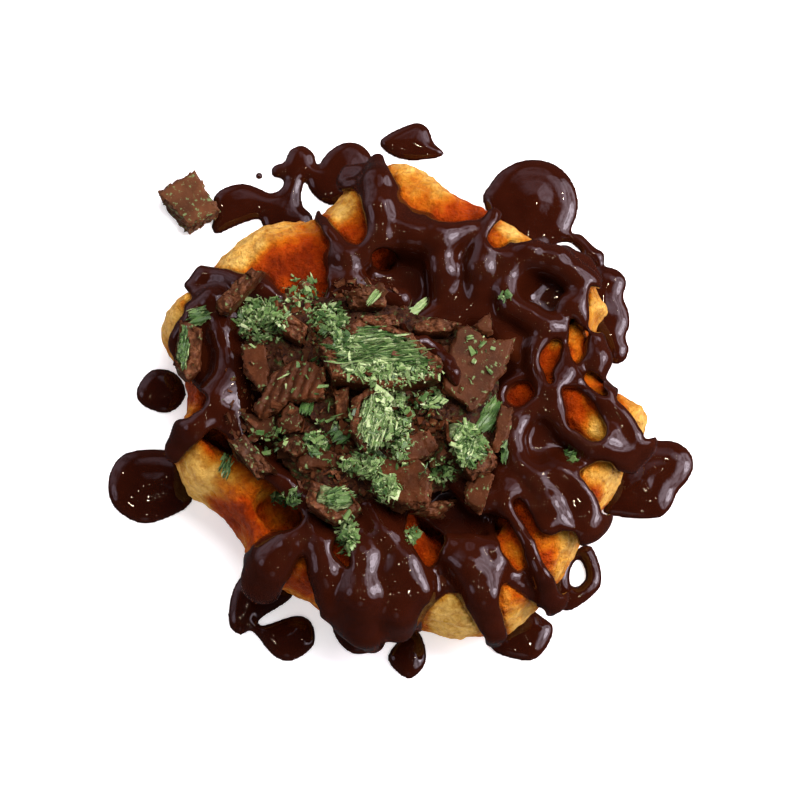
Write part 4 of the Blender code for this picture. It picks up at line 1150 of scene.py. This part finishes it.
# Mint in pixels: x, y, half width, half height, pieces, pile in mm, tone, heading or None, and
# the start of the name of the only piece it may lie on. With a heading they are fibres laid so.
MINT_SPOTS = (
    (262, 320, 26, 24, 360, 2.6, 0.50, None), (252, 318, 14, 16, 120, 3.2, 0.66, None),
    (328, 318, 20, 15, 190, 2.4, 0.48, None), (340, 337, 10, 8, 60, 1.2, 0.42, None),
    (380, 346, 62, 26, 300, 0.1, 0.42, 0.08, "slab_f"),
    (375, 345, 50, 18, 44, 0.3, 0.70, 0.10, "slab_f"),
    (392, 372, 50, 12, 260, 0.4, 0.66, None, "slab"),
    (345, 345, 14, 16, 80, 0.3, 0.72, None, "slab_f"),
    (400, 425, 12, 40, 300, 2.2, 0.58, None), (384, 400, 12, 14, 140, 1.8, 0.72, None),
    (376, 422, 16, 28, 330, 0.6, 0.68, 1.3, "block_middle"),
    (376, 425, 16, 26, 160, 0.5, 0.7, None),
    (316, 443, 15, 11, 110, 1.5, 0.46, None),
    (362, 465, 22, 14, 200, 2.0, 0.58, None), (385, 488, 15, 16, 130, 1.6, 0.48, None),
    (348, 535, 11, 20, 130, 1.6, 0.50, None), (281, 499, 11, 8, 45, 0.9, 0.40, None),
    (226, 466, 6, 11, 40, 0.8, 0.48, 1.2), (489, 416, 9, 16, 30, 0.5, 0.50, 1.0),
    (470, 444, 17, 24, 480, 0.9, 0.52, None, "block_right"), (470, 450, 10, 18, 60, 1.2, 0.66, 1.1),
    (504, 452, 4, 11, 30, 0.7, 0.28, 1.4),
    (571, 456, 8, 8, 14, 0.2, 0.22, None), (412, 535, 8, 10, 40, 0.8, 0.42, None),
    (200, 316, 10, 9, 60, 1.0, 0.36, 0.4),
    (506, 297, 6, 4, 10, 0.5, 0.4, None), (295, 499, 6, 11, 30, 0.9, 0.45, None),
    (338, 497, 13, 9, 110, 0.5, 0.42, 0.3), (184, 347, 5, 20, 90, 0.5, 0.36, 1.4),
    (430, 400, 18, 12, 90, 1.4, 0.5, None), (300, 375, 26, 20, 16, 0.2, 0.46, None),
    (480, 355, 22, 26, 10, 0.1, 0.45, None), (440, 470, 18, 14, 60, 1.0, 0.42, None),
    (300, 300, 20, 14, 50, 0.8, 0.50, None), (360, 440, 50, 40, 120, 0.4, 0.40, None),
    (300, 285, 16, 12, 24, 0.5, 0.50, None), (272, 440, 20, 16, 34, 0.5, 0.40, None),
)
# Glassy pieces: x, y, half length, width and thickness, heading, lift, tone.
GLASSY = (
    (306, 408, 2.4, 1.5, 0.8, 1.35, 0.5, 0.24), (340, 433, 2.6, 2.1, 1.0, 0.6, 0.2, 0.10),
    (485, 423, 3.2, 1.7, 0.9, 0.95, 0.2, 0.28), (492, 408, 3.2, 1.6, 0.9, 1.1, 0.3, 0.36),
    (571, 456, 1.2, 0.8, 0.4, 0.3, 0.1, 0.18), (375, 297, 3.9, 0.9, 0.5, 1.05, 0.5, 0.58),
    (415, 313, 4.2, 1.2, 0.6, 0.56, 0.35, 0.64), (423, 306, 2.4, 1.0, 0.5, 0.75, 0.3, 0.70),
    (200, 316, 2.8, 1.6, 0.6, 0.35, 0.2, 0.34), (196, 322, 2.2, 0.9, 0.5, 0.6, 0.1, 0.42),
    (456, 372, 1.8, 0.8, 0.5, 1.9, 0.2, 0.66), (325, 330, 2.0, 0.8, 0.6, 0.9, 0.3, 0.3),
    (400, 440, 1.8, 0.8, 0.5, 0.7, 0.4, 0.36), (410, 415, 1.6, 0.9, 0.5, 0.3, 0.4, 0.5),
    (318, 452, 1.8, 0.8, 0.6, 0.2, 0.3, 0.28), (505, 455, 2.4, 0.7, 0.5, 1.5, 0.2, 0.24),
    (482, 345, 1.3, 0.4, 0.3, 0.8, 0.1, 0.5), (470, 338, 0.9, 0.5, 0.3, 0.2, 0.1, 0.55),
    (490, 372, 1.0, 0.4, 0.3, 2.2, 0.1, 0.5), (474, 362, 0.8, 0.5, 0.3, 1.2, 0.1, 0.6),
)
# Chocolate crumbs: x, y, half width, half height, pieces and pile. Few lie on the chunks.
CRUMB_SPOTS = (
    (360, 400, 110, 100, 420, 0.6), (300, 360, 50, 50, 130, 0.8), (400, 440, 60, 60, 220, 0.8),
    (440, 390, 40, 30, 60, 0.5), (330, 470, 40, 30, 90, 0.6), (262, 320, 26, 22, 50, 1.0),
    (430, 505, 24, 12, 30, 0.4), (205, 215, 16, 12, 20, 0.2), (360, 290, 40, 12, 60, 0.6),
    (300, 300, 24, 20, 40, 0.5), (250, 400, 30, 50, 50, 0.4),
)
ON_CHUNKS = 0.12


def landed(spots):
    """A place on the food for every crumb: (where, index of its spot), piled up a little."""
    places, owners = [], []
    for index, spot in enumerate(spots):
        x, y, wide, tall, count, pile = spot[:6]
        only = spot[8] if len(spot) > 8 else ""
        for _ in range(int(count * 1.3)):
            away, turn = math.sqrt(rng.uniform(0, 1)), rng.uniform(0, 2 * math.pi)
            away *= rng.uniform(0.7, 1.15)
            hit = land(x + wide * away * math.cos(turn), y + tall * away * math.sin(turn))
            if hit is None or not hit[2].startswith(only):
                continue
            on_chunk = spots is CRUMB_SPOTS and hit[2].endswith(("_broken", "_fibrous"))
            if on_chunk and rng.uniform(0, 1) < 1 - ON_CHUNKS:
                continue
            lift = pile * rng.uniform(0, 1) ** 1.3 * max(0.0, 1 - away**2)
            places.append(hit[0] + hit[1] * 0.1 + np.array([0, 0, lift]))
            owners.append(index)
    return np.array(places), np.array(owners)


def crumb_sizes(count, least, more, power, lengths, thicknesses):
    """Half length, width and thickness of each crumb, with few large ones."""
    scale = least + more * rng.uniform(0, 1, (count, 1)) ** power
    return scale * np.stack([rng.uniform(*lengths, count), rng.uniform(0.6, 1.2, count),
                             rng.uniform(*thicknesses, count)], 1)


rng = np.random.default_rng(5)
sliver, crumb = sliver_shape(), crumb_shape()
mint_look = fibre_material()
places, owners = landed(MINT_SPOTS)
count = len(places)
heading = np.array([np.nan if spot[7] is None else spot[7] for spot in MINT_SPOTS])[owners]
on_slab = np.array([spot[8:] == ("slab_f",) for spot in MINT_SPOTS])[owners]
laid = ~np.isnan(heading)
yaw, pitch, _ = spin(count, 0.35)
yaw = np.where(laid, heading + rng.normal(0, 0.12, count), yaw)
pitch = np.where(laid, pitch * 0.25, pitch * 1.4)
fibre = rng.uniform(0, 1, count) < np.where(laid, 0.82, 0.2)
tones = np.array([spot[6] for spot in MINT_SPOTS])[owners]
tones = np.clip(tones + rng.normal(-0.02, 0.22, count), 0.02, 0.92)
long = np.where(on_slab, rng.uniform(1.4, 5.0, count), rng.uniform(0.5, 1.7, count))
sizes = np.stack([
    np.where(laid, long, rng.uniform(0.5, 1.5, count)),
    np.where(on_slab, rng.uniform(0.07, 0.26, count), rng.uniform(0.09, 0.28, count)),
    rng.uniform(0.10, 0.30, count)], 1)
turns = frames(yaw[fibre], pitch[fibre], rng.normal(0, 0.7, fibre.sum()))
bend = rng.uniform(-0.35, 0.35, fibre.sum())
finish_piece(scattered("mint_fibres", sliver, places[fibre], turns, sizes[fibre], tones[fibre],
                       0.30, bend), mint_look, "mint")
sizes = crumb_sizes(count, 0.13, 0.68, 2.6, (0.9, 1.9), (0.2, 0.6))
turns = frames(yaw[~fibre], pitch[~fibre], rng.normal(0, 0.6, (~fibre).sum()))
finish_piece(scattered("mint_crumbs", crumb, places[~fibre], turns, sizes[~fibre],
                       tones[~fibre], 0.35), mint_look, "mint")

places, _ = landed(CRUMB_SPOTS)
count = len(places)
yaw, pitch, _ = spin(count, 0.6)
sizes = crumb_sizes(count, 0.15, 1.05, 4.0, (0.9, 1.7), (0.25, 0.6))
turns = frames(yaw, pitch * 0.6, rng.normal(0, 0.5, count))
crumbs = scattered("chocolate_crumbs", crumb, places, turns, sizes, rng.uniform(0, 1, count), 0.3)
mark(crumbs, "wall", np.repeat(rng.uniform(0, 1, count), len(crumb[0])))
finish_piece(crumbs, chocolate, "chocolate")

strands = []
for x, y, length, width, thick, heading, lift, tone in GLASSY:
    place, normal = land(x, y)[:2]
    across = np.array([-math.sin(heading), math.cos(heading), 0])
    for share in np.linspace(-0.8, 0.8, 5):
        at = place + normal * 0.3 + across * width * share + (0, 0, 0.4 + rng.uniform(-0.2, 0.3))
        strands.append((*at, length * rng.uniform(0.7, 1.05), width * 0.32, thick * 0.8,
                        heading + rng.normal(0, 0.07), -lift, tone + rng.uniform(-0.14, 0.14)))
strands = np.array(strands)
turns = frames(strands[:, 6], strands[:, 7], rng.normal(0, 0.3, len(strands)))
finish_piece(scattered("mint_shards", sliver, strands[:, :3], turns, strands[:, 3:6],
                       strands[:, 8], 0.2), mint_look, "mint")


def drip(name, path):
    """A run of sauce over what it meets: (x px, y px, radius mm) along it."""
    line = []
    for x, y, radius in path:
        place = land(x, y)[0]
        line.append((*place[:2], place[2] + 0.25 * radius, radius))
    line = np.array(line)
    line[1:-1, 2] = (line[:-2, 2] + 2 * line[1:-1, 2] + line[2:, 2]) / 4
    low = line[:, :3].min(0) - 4
    count = np.ceil((line[:, :3].max(0) + 4 - low) / DRIP_STEP).astype(int)
    places = np.ix_(*(low[a] + DRIP_STEP * np.arange(count[a]) for a in range(3)))
    field = np.full(count, 9.0)
    for start, end in zip(line, line[1:]):
        field = smooth_min(field, rope_gap(*places, start, end), 1.2)
    verts, faces = skin(field.astype(np.float32), low, DRIP_STEP)
    return make_mesh(name, verts, faces, {"depth": np.ones(len(verts))})


run = drip("sauce_drip", ((403, 326, 0.8), (412, 336, 1.3), (424, 345, 1.5), (437, 353, 1.7),
                          (447, 363, 2.0), (453, 374, 1.8), (456, 383, 0.9)))
finish_piece(run, sauce_look, "sauce")
ROUND, RINGS = 16, 6
rings = [(DROPLET[2] * math.cos(a), DROPLET[3] * math.sin(a)) for a in np.linspace(0, 1.5, RINGS)]
middle = sight(DROPLET[0], DROPLET[1], 0.0)
verts = [middle + np.array([r * math.cos(t), r * math.sin(t), z]) for r, z in rings
         for t in np.linspace(0, 2 * math.pi, ROUND, endpoint=False)]
quads = [(low + k, low + (k + 1) % ROUND, low + ROUND + (k + 1) % ROUND, low + ROUND + k)
         for low in range(0, ROUND * (RINGS - 1), ROUND) for k in range(ROUND)]
droplet = make_mesh("sauce_droplet", verts, quads, {"depth": np.ones(len(verts))})
finish_piece(droplet, sauce_look, "sauce")


# Stage: floor, room, lamps and camera.

FLOOR = 1500.0  # half its width
AIM = Vector((0, 0, 0.02))
floor = make_mesh("floor", [(-FLOOR, -FLOOR, 0), (FLOOR, -FLOOR, 0), (FLOOR, FLOOR, 0),
                            (-FLOOR, FLOOR, 0)], [(0, 1, 2, 3)])
n = material("floor_white")
floor.data.materials.append(n.surface(
    Base_Color=n.ramp(n.noise(60, 3), (0.3, 0.90), (0.7, 0.93)), Roughness=0.9,
    Specular_IOR_Level=0.1, Emission_Color=(1, 1, 1), Emission_Strength=0.45))
floor.visible_glossy = False

# Soft bright parts of the room: direction, colour, the angles where it ends and is full, pattern.
SKY = (
    ((0.78, 0.16, 0.62), (5.2, 4.4, 5.1), 35, 27, 6.0),
    ((0.78, 0.10, 0.62), (12.0, 11.0, 12.4), 15, 11, 12.0),
    ((0.05, 0.62, 0.78), (0.8, 0.62, 0.74), 14, 7, 8.0),
    ((0.30, 0.46, 0.83), (2.6, 2.1, 2.5), 11, 6, 9.0),
    ((-0.66, 0.60, 0.30), (1.0, 0.78, 0.95), 38, 14, 6.0),
    ((-0.82, 0.05, 0.57), (2.4, 2.0, 2.5), 15, 6, 7.0),
    ((-0.10, -0.75, 0.60), (0.7, 0.6, 0.65), 13, 5, 7.0),
)
world = bpy.data.worlds.new("room")
bpy.context.scene.world = world
n = Nodes(world, "Background", "Generated")
height = n.new("SeparateXYZ", Vector=n.place).outputs["Z"]
sky = n.ramp(height, (0.0, (0.05, 0.048, 0.052)), (0.02, (0.05, 0.048, 0.052)),
             (0.12, (0.10, 0.085, 0.10)), (0.8, (0.020, 0.018, 0.024)))
for toward, colour, widest, full, scale in SKY:
    along = n.new("VectorMath")
    along.operation = "DOT_PRODUCT"
    along.inputs[1].default_value = Vector(toward).normalized()
    n.link(n.place, along.inputs[0])
    share = n.new("MapRange", Value=along.outputs["Value"],
                  From_Min=math.cos(math.radians(widest)), From_Max=math.cos(math.radians(full)))
    share.interpolation_type = "SMOOTHSTEP"
    pattern = n.ramp(n.noise(scale, 4, 0.6), (0.36, 0.25), (0.56, 1.0))
    sky = n.mix(n.math("MULTIPLY", share.outputs["Result"], pattern), sky, colour, "ADD")
n.surface(Color=sky)


def lamp(name, kind, place, energy, colour):
    """A lamp's settings and its object."""
    made = bpy.data.lights.new(name, kind)
    made.energy = energy
    made.color = colour
    holder = placed(name, made)
    holder.location = place
    return made, holder


def aim(obj):
    """Turns a lamp or the camera toward the food."""
    obj.rotation_euler = (AIM - obj.location).to_track_quat("-Z", "Y").to_euler()


# Broad lamps: name, place, size, energy and colour.
for name, place, size, energy, colour in (
        ("window", (0.62, 0.10, 0.62), (0.34, 0.30), 3.5, (1.0, 0.98, 0.95)),
        ("overhead", (0.10, 0.28, 1.0), (0.6, 0.42), 8.9, (0.98, 0.98, 1.0)),
        ("front", (-0.1, -0.75, 0.85), (0.9, 0.6), 3.0, (1.0, 0.99, 0.97))):
    made, holder = lamp(name, "AREA", place, energy, colour)
    made.shape = "RECTANGLE"
    made.size, made.size_y = size
    holder.visible_glossy = False
    aim(holder)
# Small lamps that only glint.
SPARKS = ((0.18, -0.02, 0.95), (0.30, 0.07, 0.88), (-0.10, 0.10, 0.98),
          (-0.28, 0.06, 0.90), (-0.36, -0.12, 0.82), (0.05, 0.30, 0.93),
          (0.16, 0.36, 0.88), (-0.10, -0.50, 0.85), (0.12, -0.55, 0.80), (0.40, -0.25, 0.75),
          (0.33, 0.42, 0.72), (-0.42, 0.30, 0.70), (0.36, 0.38, 0.78))
for i, place in enumerate(SPARKS):
    made, holder = lamp(f"spark_{i}", "POINT", place, 0.4, (1.0, 0.84, 0.62))
    made.shadow_soft_size = 0.0045
    holder.visible_diffuse = False

lens = bpy.data.cameras.new("camera")
lens.sensor_width = 36.0
lens.lens = 144.0
lens.clip_start = 0.05
camera = placed("camera", lens)
camera.location = EYE * MM
aim(camera)
bpy.context.scene.camera = camera
bpy.context.scene.view_settings.view_transform = "Standard"
